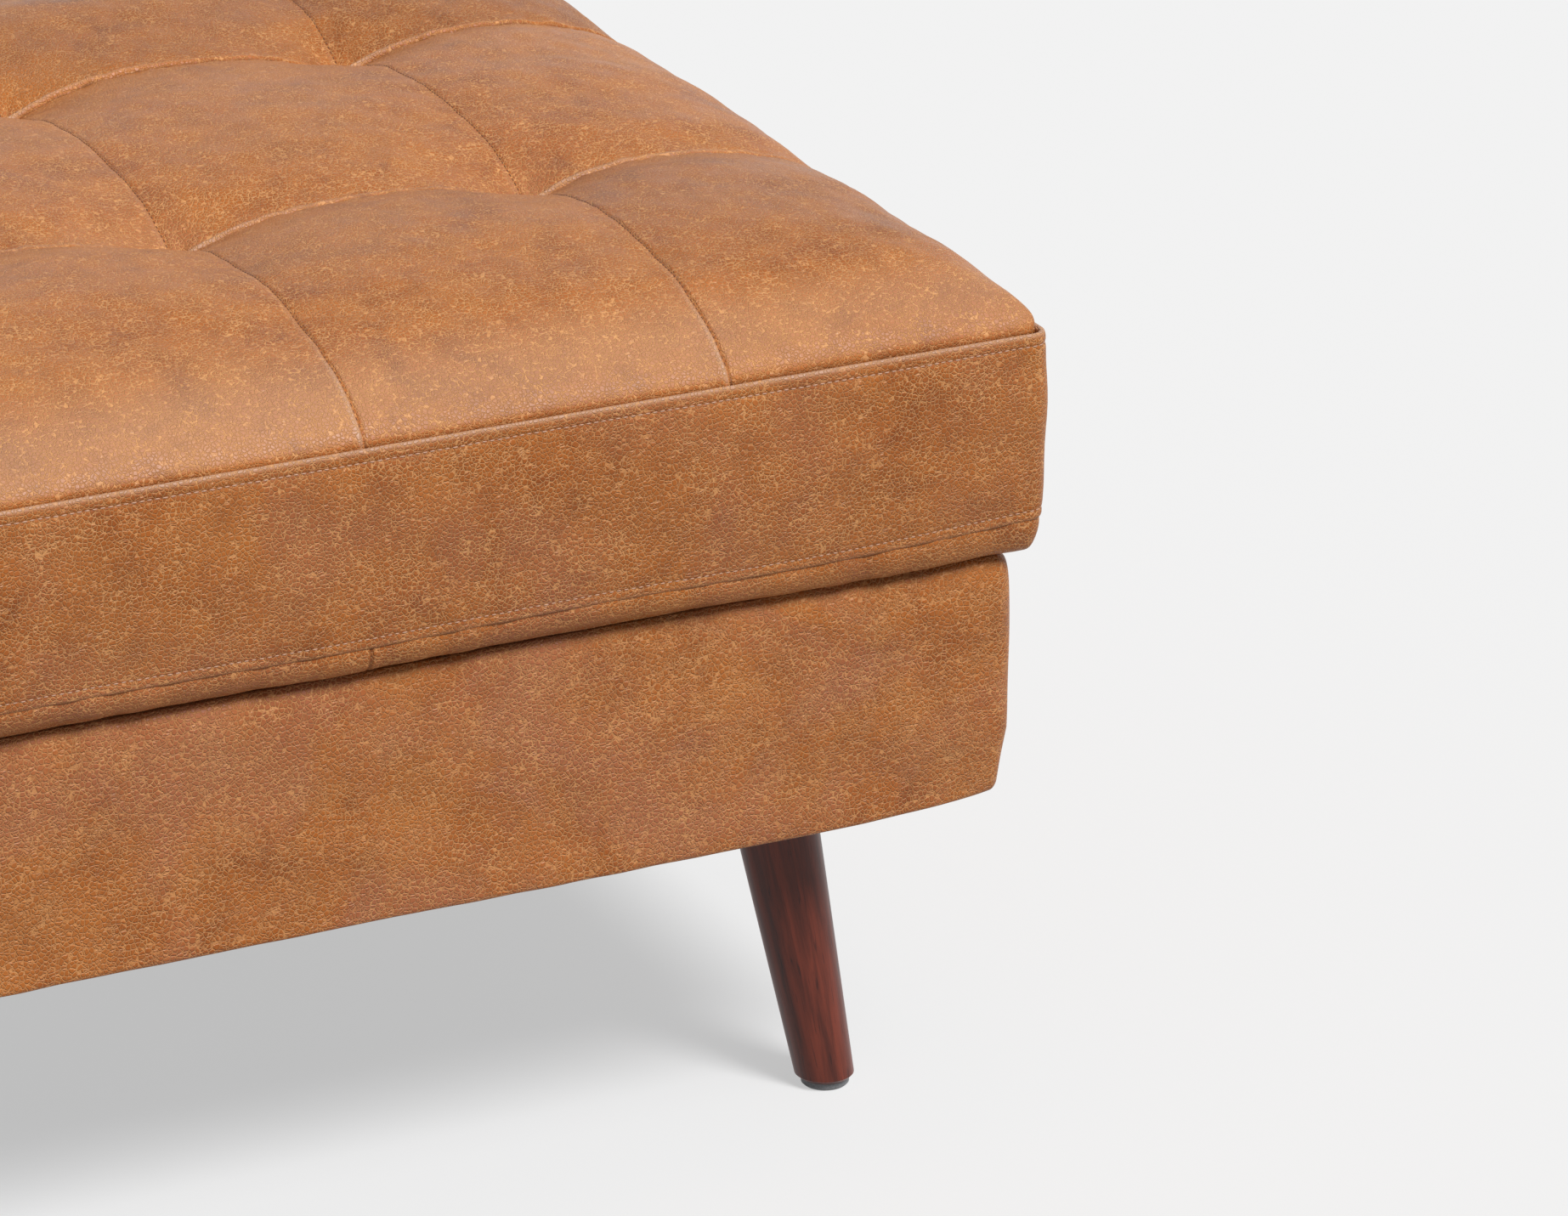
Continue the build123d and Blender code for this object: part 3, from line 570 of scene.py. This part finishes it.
def smooth_line(points, count):
    """A profile drawn through a few points and rounded: Catmull-Rom cubics between them, taken at
    even steps, count to each stretch."""
    p = np.array(points, float)
    p = np.concatenate([[2 * p[0] - p[1]], p, [2 * p[-1] - p[-2]]])
    t = np.linspace(0, 1, count, endpoint=False)[None, :, None]
    a, b, c, d = (p[i:len(p) - 3 + i, None, :] for i in range(4))
    line = 0.5 * (2 * b + (c - a) * t + (2 * a - 5 * b + 4 * c - d) * t ** 2
                  + (3 * b - a - 3 * c + d) * t ** 3)
    return np.concatenate([line.reshape(-1, p.shape[1]), p[-2:-1]])


def ring_faces(points, closed):
    """Quads of a grid of points whose last row joins the first, and last column too if closed."""
    rows, columns = points.shape[:2]
    row, column = np.arange(rows)[:, None], np.arange(columns if closed else columns - 1)[None, :]
    next_row, next_column = (row + 1) % rows, (column + 1) % columns
    return np.stack([row * columns + column, row * columns + next_column,
                     next_row * columns + next_column, next_row * columns + column],
                    -1).reshape(-1, 4)


def ring_piece(name, points, body, slot, material, worn):
    """A closed ring from a grid of points whose rows go round the path and whose columns go round
    a closed profile."""
    return mesh_piece(name, points, ring_faces(points, True), body, slot, material,
                      np.broadcast_to(worn, points.shape[:2]))


swell_level = fold_level + 0.55 * (seam_level - fold_level)
upper_row, lower_row = seam_level - stitch_drop, fold_level + stitch_drop
band_line = (
    at_level(seam_level, (-0.0042, -0.0060), (-0.0036, -0.0014), (-0.0027, 0.0001),
             (-0.0017, 0.0005), (-0.0008, 0.0002), (-0.0002, -0.0008), (0.0001, -0.0020),
             (0.0003, -0.0034))
    + at_level(upper_row, (0.0002, 0.0008), (-0.0001, 0), (0.0003, -0.0010), (0.0008, -0.0040))
    + [(0.0013, seam_level - 0.020), (band_swell, swell_level), (0.0011, fold_level + 0.024)]
    + at_level(lower_row, (0.0001, 0.0060), (-0.0005, 0.0012), (-0.0009, 0), (-0.0007, -0.0012))
    + at_level(fold_level, (-0.0008, 0.0022), (-0.0014, 0.0008), (-0.0026, 0.0002),
               (-0.0040, 0.0012), (-0.0050, 0.004)))
band_profile = smooth_line(band_line, 4)
inner_profile = [(-0.0056, fold_level + 0.010), (-0.0046, swell_level),
                 (-0.0052, seam_level - 0.012)]
band_closed = np.concatenate([band_profile, inner_profile])
band_path = ring_path(half_width, half_depth, cushion_corner, 0.0042)


def corner_share(x, y):
    """1 at the cushion's corners, falling off away from them."""
    return fall(np.hypot(half_width - np.abs(x), half_depth - np.abs(y)), corner_reach)


def band_shift(x, y, level):
    """How far the band's leather bellies out and hangs at a place: long and short waves that die
    out at both folds, small puckers along both stitch rows, and a hang that grows towards the foot
    and turns to a lift at the corners."""
    share = (level - fold_level) / (seam_level - fold_level)
    free = np.clip(share * (1 - share) * 6, 0, 1)
    rows_near = bell(level - upper_row, 0.006) + bell(level - lower_row, 0.008)
    out = (belly * waves(x, y, 11, (0.16, 0.07), z=1.6 * level) * free
           + row_puckers * waves(x, y, 13, (0.013, 0.009)) * rows_near)
    hang = fold_wave * waves(x, y, 12, (0.45, 0.2)) + corner_lift * corner_share(x, y)
    return out, hang * np.clip(1 - share, 0, 1)


along_x, along_y = np.hsplit(band_path[0], 2)
outs, levels = band_closed.T
shift, hang = band_shift(along_x, along_y, levels)
outer = np.concatenate([np.ones(len(band_profile)), np.zeros(len(inner_profile))])
band_points = carried(band_path, outs + shift * outer, levels + hang)
# The band's lip is paled by wear and by a painted highlight where it faces up, and the lower fold
# is paled by wear. Both stitch rows are darkened with painted shade in their grooves.
band_wear_and_painted_light = (bell(levels - seam_level - lip_top, lip_sheen_and_wear_reach)
             + fold_wear * bell(levels - fold_level, fold_wear_reach)
             - upper_row_shade * bell(levels - upper_row, row_shade_reach)
             - lower_row_shade * bell(levels - lower_row, row_shade_reach))
cushion_band = ring_piece("cushion_band", band_points, "cushion", "tan_leather", side_leather,
                          band_wear_and_painted_light * outer)
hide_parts("side_band")

# The thread: a waxed beige topstitch along both folds of the band, and the dark seam thread that
# shows between the panels of the top, each stitch a short length that dives in at its ends.
stitch_pitch, stitch_length, thread_radius = 0.00375, 0.0029, 0.00038
seam_pitch, seam_stitch, seam_thread_radius = 0.0030, 0.0021, 0.00024
seam_margin, seam_side, seam_lift = 0.010, 0.0004, 0.0002


def stitches(centres, ahead, up, length, radius):
    """Points and faces of short stitches, one at each centre: tubes of a few rings along ahead that
    narrow towards both ends and sink there by the square of the distance from the middle."""
    rings, sides = 5, 6
    side = np.cross(up, ahead)
    t = np.linspace(-1, 1, rings)[None, :, None, None]
    turn = np.radians(360 / sides * np.arange(sides))[None, None, :, None]
    thick = radius * np.sqrt(1 - 0.75 * t ** 2)
    points = (centres[:, None, None, :] + ahead[:, None, None, :] * t * length / 2
              + side[:, None, None, :] * np.cos(turn) * thick
              + up[:, None, None, :] * (np.sin(turn) * thick - 0.9 * radius * t ** 2))
    ring, around = sides * np.arange(rings - 1)[:, None], np.arange(sides)[None, :]
    near, turned = ring + around, ring + (around + 1) % sides
    quads = np.stack([near, turned, turned + sides, near + sides], -1).reshape(-1, 4)
    first = rings * sides * np.arange(len(centres))[:, None, None]
    ends = np.concatenate([around[:, ::-1], sides * (rings - 1) + around])
    faces = (quads + first).reshape(-1, 4).tolist() + (ends + first).reshape(-1, sides).tolist()
    return points.reshape(-1, 3), faces


def stitch_ring(path, out, level, pitch, shift):
    """Centres, directions and outward sides of stitches at even pitch round a path, which follow
    the leather's shift."""
    places, normals, along, _ = path
    count = int(along[-1] / pitch)
    at = np.arange(count) * along[-1] / count
    place, normal = (np.stack([np.interp(at, along, np.append(line, line[0]))
                               for line in part.T], -1) for part in (places, normals))
    normal /= np.linalg.norm(normal, axis=1)[:, None]
    more, hang = shift(place[:, 0], place[:, 1], level)
    flat = place + normal * (out + more)[:, None]
    zero = np.zeros(count)
    ahead = np.stack([-normal[:, 1], normal[:, 0], zero], -1)
    return np.column_stack([flat, level + hang]), ahead, np.column_stack([normal, zero])


def finish_in(tree, out, mask, height, dark, pale, strength, depth, **settings):
    """The end of a material in two tones: they are mixed by a mask, a bump follows a height, and
    the settings are the shader's other constants, by the names of its sockets."""
    tone = node(tree, "Mix", data_type="RGBA", in_0=mask, in_6=dark, in_7=pale)
    bump = node(tree, "Bump", in_Strength=strength, in_Distance=depth, in_Height=height)
    shade = node(tree, "BsdfPrincipled", in_Base_Color=tone.outputs[2],
                 in_Normal=bump.outputs[0])
    for socket, value in settings.items():
        shade.inputs[socket.replace("_", " ")].default_value = value
    tree.links.new(shade.outputs[0], out.inputs[0])


def thread_material(name, dark, pale):
    """Twisted thread: two tones in fine diagonal bands."""
    made, tree, out = new_material(name)
    place = node(tree, "TexCoord").outputs["Object"]
    twist = node(tree, "TexWave", bands_direction="DIAGONAL", in_Vector=place,
                 in_Scale=900.0).outputs["Fac"]
    finish_in(tree, out, twist, twist, dark, pale, 0.4, 0.0001, Roughness=0.6)
    return made


beige_thread = thread_material("beige_thread", (0.47, 0.25, 0.155, 1), (0.68, 0.42, 0.29, 1))
dark_thread = thread_material("dark_thread", (0.09, 0.030, 0.012, 1), (0.17, 0.065, 0.03, 1))
upper = stitch_ring(band_path, 0.0, upper_row, stitch_pitch, band_shift)
lower = stitch_ring(band_path, -0.0009, lower_row, stitch_pitch, band_shift)
band_rows = [np.concatenate(pair) for pair in zip(upper, lower)]
band_stitches = stitches(*band_rows, stitch_length, thread_radius)
mesh_piece("band_thread", *band_stitches, "cushion", "twine", beige_thread)


def on_top(x, y):
    """The leather top's height at places, between the four nearest points of its grid."""
    i = np.clip(np.searchsorted(line_x, x) - 1, 0, len(line_x) - 2)
    j = np.clip(np.searchsorted(line_y, y) - 1, 0, len(line_y) - 2)
    u = (x - line_x[i]) / (line_x[i + 1] - line_x[i])
    v = (y - line_y[j]) / (line_y[j + 1] - line_y[j])
    z = top_points[..., 2]
    return ((1 - u) * (1 - v) * z[i, j] + u * (1 - v) * z[i + 1, j]
            + (1 - u) * v * z[i, j + 1] + u * v * z[i + 1, j + 1])


across = np.arange(-half_width + seam_margin, half_width - seam_margin, seam_pitch)
deep = np.arange(-half_depth + seam_margin, half_depth - seam_margin, seam_pitch)
seam_lines = ([(np.full(len(deep), seam_x - seam_side), deep) for seam_x in seam_xs]
              + [(across, np.full(len(across), seam_y - seam_side)) for seam_y in seam_ys])
centres, aheads = [], []
for x, y in seam_lines:
    centre = np.column_stack([x, y, on_top(x, y) + seam_lift])
    ahead = np.gradient(centre, axis=0)
    centres.append(centre)
    aheads.append(ahead / np.linalg.norm(ahead, axis=1)[:, None])
centres, aheads = np.concatenate(centres), np.concatenate(aheads)
ups = np.cross(aheads, np.cross(np.array([[0, 0, 1.0]]), aheads))
ups /= np.linalg.norm(ups, axis=1)[:, None]
seam_stitches = stitches(centres, aheads, ups, seam_stitch, seam_thread_radius)
mesh_piece("seam_thread", *seam_stitches, "cushion", "twine", dark_thread)

# The lower strip: a narrow band of the same leather that curls under the cushion from the fold
# and over the edge of the cloth below. It hangs a little unevenly, and its ends are joined on the
# front, under a seam of the top.
strip_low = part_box("lower_strip")[0]
strip_joint, joint_depth, joint_width, joint_stain = seam_xs[2], 0.0012, 0.0009, 0.45
strip_inner, hang_start, hang_limit = -0.0150, 0.006, -0.0028
strip_wave, strip_ripple, strip_corner_rise, strip_corner_drop = 0.0006, 0.0005, 0.0056, 0.0022
cloth_line, cloth_run, cloth_room, cloth_cover = -0.0080, 0.002, 0.0040, 0.0006
strip_path = ring_path(half_width, half_depth, cushion_corner, 0.005, (strip_joint,))
strip_line = (at_level(fold_level, (-0.0040, 0.004), (-0.0022, 0.001), (-0.0019, -0.003),
                       (-0.0034, -0.0075), (-0.0060, -0.0112))
              + at_level(strip_low.z, (-0.0100, 0.0001), (strip_inner, 0.0001)))
strip_profile = smooth_line(strip_line, 4)
strip_back = strip_profile[::-1] + np.array([-0.0014, 0.0010])
outs, levels = np.concatenate([strip_profile, strip_back]).T
along_x, along_y = np.hsplit(strip_path[0], 2)
strip_share = np.clip((levels - strip_low.z) / (fold_level - strip_low.z), 0, 1)
hang = fold_wave * waves(along_x, along_y, 12, (0.45, 0.2))
hang = hang + strip_wave * waves(along_x, along_y, 14, (0.09, 0.05))
hang = hang + ((strip_corner_rise * strip_share - strip_corner_drop)
               * corner_share(along_x, along_y))
hang = np.clip(hang, hang_limit, None) * np.clip((outs - strip_inner) / hang_start, 0, 1)
over_cloth = np.clip((cloth_line - outs) / cloth_run, 0, 1)
hang = np.minimum(hang, cloth_room * (1 - over_cloth) - cloth_cover)
joint = bell(along_x - strip_joint, joint_width) * (along_y < 0)
ripple = strip_ripple * waves(along_x, along_y, 15, (0.05, 0.022)) - joint_depth * joint
strip_points = carried(strip_path, outs + ripple, levels + hang)
cushion_strip = ring_piece("cushion_strip", strip_points, "cushion", "tan_leather", side_leather,
                           -joint_stain * joint)
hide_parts("lower_strip")

# The base: leather pulled tight over a foam-padded timber frame, turned in over the deck above and
# stapled under the rails below, with the slack worked out towards its rounded corners.
# The base's darker tone is painted shade, as on the band.
base_leather = leather_material("base_leather", grain=440.0, net=0.75, crease=0.9, red=0.80,
                                deep=0.13)
base_low, base_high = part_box("base_cover")
half_base_x, half_base_y = (base_high.x - base_low.x) / 2, (base_high.y - base_low.y) / 2
deck_inset = half_base_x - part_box("deck_lining")[1].x
base_corner, base_hem, hem_flat, hem_run = 0.011, 0.031, 0.02, 0.01
base_lumps, foot_pulls, foot_rise = 0.0009, 0.0004, 0.035
corner_pull, corner_pull_reach = 0.0046, 0.035
foot_lift, foot_lift_reach = 0.0045, 0.026
base_path = ring_path(half_base_x, half_base_y, base_corner, 0.005)
base_line = (
    at_level(base_low.z, (-base_hem, 0), (-0.018, 0), (-0.0060, 0), (-0.0022, 0.0001),
             (-0.0006, 0.0015), (-0.0003, 0.0060), (-0.0008, 0.024), (-0.0004, 0.048),
             (0.0, 0.084), (-0.0004, 0.108))
    + at_level(base_high.z, (-0.0016, -0.0070), (-0.0040, -0.0018), (-0.0085, 0), (-0.030, 0),
               (-deck_inset, 0)))
base_profile = smooth_line(base_line, 6)
back_line = (
    at_level(base_high.z, (-deck_inset, -leather), (-0.012, -leather), (-0.005, -0.009))
    + at_level(base_low.z, (-0.0030, 0.084), (-0.0068, 0.010), (-0.013, leather),
               (-base_hem, leather)))
base_back = smooth_line(back_line, 2)
outs, levels = np.concatenate([base_profile, base_back]).T
along_x, along_y = np.hsplit(base_path[0], 2)
outer = np.concatenate([np.ones(len(base_profile)), np.zeros(len(base_back))])
free = outer * np.clip((outs + hem_flat) / hem_run, 0, 1)
foot = np.clip(1 - (levels - base_low.z) / foot_rise, 0, 1)
to_corner = np.hypot(half_base_x - np.abs(along_x), half_base_y - np.abs(along_y))
lumps = base_lumps * waves(along_x, along_y, 21, (0.22, 0.09), z=1.5 * levels)
pulls = foot_pulls * waves(along_x, along_y, 22, (0.050, 0.024)) * foot
inward = corner_pull * fall(to_corner, corner_pull_reach) * foot
lift = foot_lift * fall(to_corner, foot_lift_reach) * foot
base_points = carried(base_path, outs + (lumps + pulls - inward) * free, levels + lift * free)
base_piece = ring_piece("base_leather", base_points, "base", "tan_leather", base_leather, 0.0)
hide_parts("base_cover", "side_foam")

# The legs: turned beech, splayed both ways, stained dark red-brown and lacquered to a satin gloss,
# with the grain along each leg. Each screws up into its corner plate.
leg_dark, leg_pale = (0.030, 0.0065, 0.0045, 1), (0.215, 0.042, 0.022, 1)
leg_lean, leg_rise = 0.022, 0.163


def wood_pattern():
    """Wood grain along Z of the given place: long streaks, broad bands of tone and dark pores."""
    p = Pattern("wood_grain_pattern", {}, ("Mask", "Height"))
    p.group.interface.new_socket(name="Place", in_out="INPUT", socket_type="NodeSocketVector")
    at = p.vector("MULTIPLY", p.ins["Place"], (1.0, 1.0, 0.06))
    streaks = p.ranged(p.noise(230, 4, 0.62, 0.4, at=at), 0.32, 0.68)
    bands = p.ranged(p.noise(48, 3, 0.5, 0.6, at=at), 0.34, 0.66)
    pores = p.ranged(p.noise(950, 2, 0.5, at=at), 0.60, 0.74)
    mask = p.math("ADD", p.math("MULTIPLY", streaks, 0.55), p.math("MULTIPLY", bands, 0.45))
    p.give("Mask", p.math("SUBTRACT", mask, p.math("MULTIPLY", pores, 0.35)))
    p.give("Height", p.math("SUBTRACT", p.math("MULTIPLY", streaks, 0.3), pores))
    return p.group


wood_grain_pattern = wood_pattern()


def wood_material(name, grain, dark, pale, roughness, coat, depth):
    """Wood whose grain runs along a direction, in two tones, raw or under a lacquer."""
    made, tree, out = new_material(name)
    place = node(tree, "TexCoord").outputs["Object"]
    upright = Vector(grain).rotation_difference(Vector((0, 0, 1))).to_euler()
    turned = node(tree, "Mapping", in_Vector=place, in_Rotation=upright)
    mask, height = node(tree, "Group", node_tree=wood_grain_pattern,
                        in_Place=turned.outputs[0]).outputs
    finish_in(tree, out, mask, height, dark, pale, 0.3, depth, Roughness=roughness,
              Coat_Weight=coat, Coat_Roughness=0.16, Specular_IOR_Level=0.28)
    return made


def dress(material, *names):
    """Gives CAD nodes their material."""
    for name in names:
        for place in nodes[name].material_slots:
            place.material = material


corners = {"front_left": (-1, -1), "front_right": (1, -1), "back_left": (-1, 1),
           "back_right": (1, 1)}
for name, (sign_x, sign_y) in corners.items():
    splay = (-sign_x * leg_lean, -sign_y * leg_lean, leg_rise)
    leg_wood = wood_material("leg_wood_" + name, splay, leg_dark, leg_pale, roughness=0.34,
                             coat=0.10, depth=0.00012)
    dress(leg_wood, "leg_" + name)

# The glides: dark grey nylon discs, one nailed under each foot, which keep the wood off the floor
# and let the ottoman slide.


def speckle_pattern():
    """Fine speckle for moulded plastic, foam and felt: cells or fibres of a few sizes."""
    p = Pattern("speckle_pattern", {"Scale": 400.0}, ("Mask", "Height"))
    fine = p.noise(p.ins["Scale"], 3, 0.6)
    broad = p.noise(p.math("MULTIPLY", p.ins["Scale"], 0.12), 2, 0.5)
    both = p.math("ADD", p.math("MULTIPLY", fine, 0.7), p.math("MULTIPLY", broad, 0.3))
    p.give("Mask", p.ranged(both, 0.35, 0.65))
    p.give("Height", fine)
    return p.group


fine_speckle_pattern = speckle_pattern()


def speckled_material(name, dark, pale, scale, roughness, depth, metallic=0.0, sheen=0.0):
    """A plain finish with its own speckle: moulded plastic, felt, foam, or plated steel."""
    made, tree, out = new_material(name)
    mask, height = node(tree, "Group", node_tree=fine_speckle_pattern,
                        in_Scale=scale).outputs
    finish_in(tree, out, mask, height, dark, pale, 0.5, depth, Roughness=roughness,
              Metallic=metallic, Sheen_Weight=sheen)
    return made


glide_plastic = speckled_material("glide_plastic", (0.12, 0.125, 0.13, 1), (0.19, 0.19, 0.20, 1),
                                  scale=900.0, roughness=0.42, depth=0.00005)
dress(glide_plastic, *["glide_" + name for name in corners])

# The steel: bright zinc-plated screws in the rails and plates, the legs' hanger bolts and tee
# nuts, the glides' nails, and the staples that hold the webbing and the dust cover.
zinc_steel = speckled_material("zinc_steel", (0.50, 0.51, 0.52, 1), (0.66, 0.67, 0.68, 1),
                               scale=700.0, roughness=0.34, depth=0.00003, metallic=1.0)
dress(zinc_steel, "rail_screws", "plate_screws", "hanger_bolts", "tee_nuts", "glide_nails",
      "dust_cover_staples", "strap_staples")

# The timber frame: sawn beech rails screwed together, a stretcher on dowels between the long
# ones, and a thick plate screwed into each corner for the leg.
raw_wood = {"dark": (0.42, 0.27, 0.14, 1), "pale": (0.66, 0.49, 0.31, 1), "roughness": 0.7,
            "coat": 0.0, "depth": 0.0002}
long_rail_wood = wood_material("long_rail_wood", (1, 0, 0), **raw_wood)
short_rail_wood = wood_material("short_rail_wood", (0, 1, 0), **raw_wood)
dress(long_rail_wood, "front_rail", "back_rail", *["corner_plate_" + name for name in corners])
dress(short_rail_wood, "left_rail", "right_rail", "stretcher", "stretcher_dowels")

# The webbing: woven elastic straps that pass over and under one another below the deck, three one
# way and five the other, stapled to the rails.


def weave_pattern():
    """Plain weave on a level cloth: the product of two sines across and along, a thread to each
    half wave, with uneven yarns."""
    p = Pattern("plain_weave_pattern", {"Threads": 1000.0}, ("Mask", "Height"))
    apart = node(p.group, "SeparateXYZ", in_0=p.place)
    wobble = p.math("MULTIPLY", p.noise(90, 2), 1.5)
    turn_x = p.math("MULTIPLY", apart.outputs[0], p.ins["Threads"])
    turn_y = p.math("MULTIPLY", apart.outputs[1], p.ins["Threads"])
    woven = p.math("MULTIPLY", p.math("SINE", p.math("ADD", turn_x, 0.5)),
                   p.math("SINE", p.math("ADD", turn_y, wobble)))
    mask = p.math("ADD", p.math("MULTIPLY", woven, 0.35), p.noise(220, 3, 0.6))
    p.give("Mask", p.ranged(mask, 0.2, 0.8))
    p.give("Height", woven)
    return p.group


plain_weave_pattern = weave_pattern()


def woven_material(name, dark, pale, threads, depth, sheen):
    """Woven cloth, webbing or tape, with a soft sheen."""
    made, tree, out = new_material(name)
    mask, height = node(tree, "Group", node_tree=plain_weave_pattern,
                        in_Threads=threads).outputs
    finish_in(tree, out, mask, height, dark, pale, 0.5, depth, Roughness=0.85, Sheen_Weight=sheen)
    return made


strap_webbing = woven_material("strap_webbing", (0.045, 0.038, 0.032, 1), (0.13, 0.115, 0.10, 1),
                               threads=2100.0, depth=0.0004, sheen=0.2)
dress(strap_webbing, *["across_strap_%d" % i for i in (1, 2, 3)],
      *["deep_strap_%d" % i for i in (1, 2, 3, 4, 5)])

# The filling: a block of pale foam in the cushion and a thinner sheet of the same over the deck,
# cut square, with edges that have softened.


def pad(low, high, edge, corner, rings=10):
    """Points and faces of a slab between two corners: from the middle of its top out to the rounded
    edge in rings, a quarter circle over and one under, and back to the middle below."""
    low, high = np.array(low), np.array(high)
    middle, half = (low + high)[:2] / 2, (high - low)[:2] / 2
    places, normals = ring_path(*half, corner, 0.012)[:2]
    inner, bends = np.linspace(0.04, 1, rings), 8
    shrink = np.concatenate([inner, np.ones(bends), inner[::-1]])
    bend = 90 - 180 * (np.arange(bends) + 0.5) / bends
    turns = np.radians(np.concatenate([[90] * rings, bend, [-90] * rings]))
    outs = edge * (np.cos(turns) - 1)
    levels = np.where(turns > 0, high[2] - edge, low[2] + edge) + edge * np.sin(turns)
    flat = (places[:, None] + normals[:, None] * outs[:, None]) * shrink[:, None] + middle
    points = np.concatenate([flat, np.broadcast_to(levels[:, None], (*flat.shape[:2], 1))], -1)
    rows, columns = points.shape[:2]
    poles = [points[:, 0].mean(axis=0), points[:, -1].mean(axis=0)]
    around = columns * np.arange(rows)
    turned = np.roll(around, -1)
    pole = np.full(rows, rows * columns)
    upper = np.stack([pole, around, turned], -1)
    lower = np.stack([pole + 1, turned + columns - 1, around + columns - 1], -1)
    faces = ring_faces(points, False).tolist() + upper.tolist() + lower.tolist()
    return np.concatenate([points.reshape(-1, 3), poles]), faces


seat_foam_cut = speckled_material("seat_foam", (0.66, 0.60, 0.42, 1), (0.84, 0.80, 0.64, 1),
                                  scale=650.0, roughness=0.95, depth=0.0006)
core_form = pad(*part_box("foam_core"), edge=0.006, corner=0.016)
seat_foam = mesh_piece("seat_foam", *core_form, "cushion", "foam", seat_foam_cut)
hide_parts("foam_core")
deck_low, deck_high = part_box("deck_foam")
frame_low, frame_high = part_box("deck_cloth")
deck_form = pad((*frame_low.xy, deck_low.z), (*frame_high.xy, deck_high.z), edge=0.004,
                corner=0.012)
deck_pad = mesh_piece("deck_pad", *deck_form, "base", "foam", seat_foam_cut)
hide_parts("deck_foam")

# The cloths: calico between the foam and the webbing, black non-woven cloth under the cushion and
# under the frame, and a woven brown lining on the deck that the cushion hides.
calico = woven_material("calico", (0.52, 0.47, 0.38, 1), (0.72, 0.67, 0.56, 1),
                        threads=5200.0, depth=0.0002, sheen=0.2)
black_felt = speckled_material("black_felt", (0.014, 0.014, 0.016, 1), (0.050, 0.050, 0.054, 1),
                               scale=1500.0, roughness=0.92, depth=0.00025, sheen=0.25)
brown_lining = woven_material("brown_lining", (0.055, 0.038, 0.028, 1), (0.155, 0.115, 0.085, 1),
                              threads=3600.0, depth=0.0003, sheen=0.3)
cloth_edge = 0.00035


def cloth_piece(name, node_name, body, slot, material, corner=0.012):
    """A stretched cloth in the place of its CAD node, which it hides."""
    low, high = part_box(node_name)
    form = pad(low, high, min(cloth_edge, (high.z - low.z) / 2), corner, rings=24)
    made = mesh_piece(name, *form, body, slot, material)
    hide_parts(node_name)


cloth_piece("deck_calico", "deck_cloth", "base", "black_cloth", calico)
cloth_piece("cushion_cloth", "bottom_cloth", "cushion", "black_cloth", black_felt)
cloth_piece("deck_cover", "deck_lining", "base", "deck_lining", brown_lining,
            corner=0.004)
cloth_piece("dust_sheet", "dust_cover", "base", "black_cloth", black_felt)

# The hook and loop tapes: four lengths sewn under the cushion and four on the deck, which keep the
# loose cushion from sliding.
hook_tape = speckled_material("hook_tape", (0.016, 0.014, 0.013, 1), (0.060, 0.052, 0.045, 1),
                              scale=2600.0, roughness=0.7, depth=0.0006)
loop_tape = speckled_material("loop_tape", (0.020, 0.017, 0.015, 1), (0.085, 0.072, 0.062, 1),
                              scale=1300.0, roughness=0.98, depth=0.0008, sheen=0.5)
tape_width, front_tape, side_tape = 0.040, 0.420, 0.300
for name, node_name, body, material in (("hook_strips", "hook_tapes", "cushion", hook_tape),
                                        ("loop_strips", "loop_tapes", "base", loop_tape)):
    low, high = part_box(node_name)
    points, faces = [], []
    for x, y, width, length in ((0, high.y - tape_width / 2, front_tape, tape_width),
                                (0, low.y + tape_width / 2, front_tape, tape_width),
                                (high.x - tape_width / 2, 0, tape_width, side_tape),
                                (low.x + tape_width / 2, 0, tape_width, side_tape)):
        more, quads = pad((x - width / 2, y - length / 2, low.z),
                          (x + width / 2, y + length / 2, high.z), 0.0008, 0.003, rings=3)
        first = sum(map(len, points))
        points.append(more)
        faces += [[first + corner for corner in face] for face in quads]
    tapes = mesh_piece(name, np.concatenate(points), faces, body, "fastener_tape", material)
    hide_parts(node_name)

# The tufting: waxed twine from each tuft down through the foam, tied to a white plastic toggle in
# a recess of its underside.
tuft_twine = thread_material("tuft_twine", (0.36, 0.27, 0.16, 1), (0.62, 0.52, 0.37, 1))
toggle_plastic = speckled_material("toggle_plastic", (0.70, 0.70, 0.67, 1), (0.82, 0.82, 0.79, 1),
                                   scale=800.0, roughness=0.4, depth=0.00005)
dress(tuft_twine, "tuft_ties")
dress(toggle_plastic, "tuft_toggles")
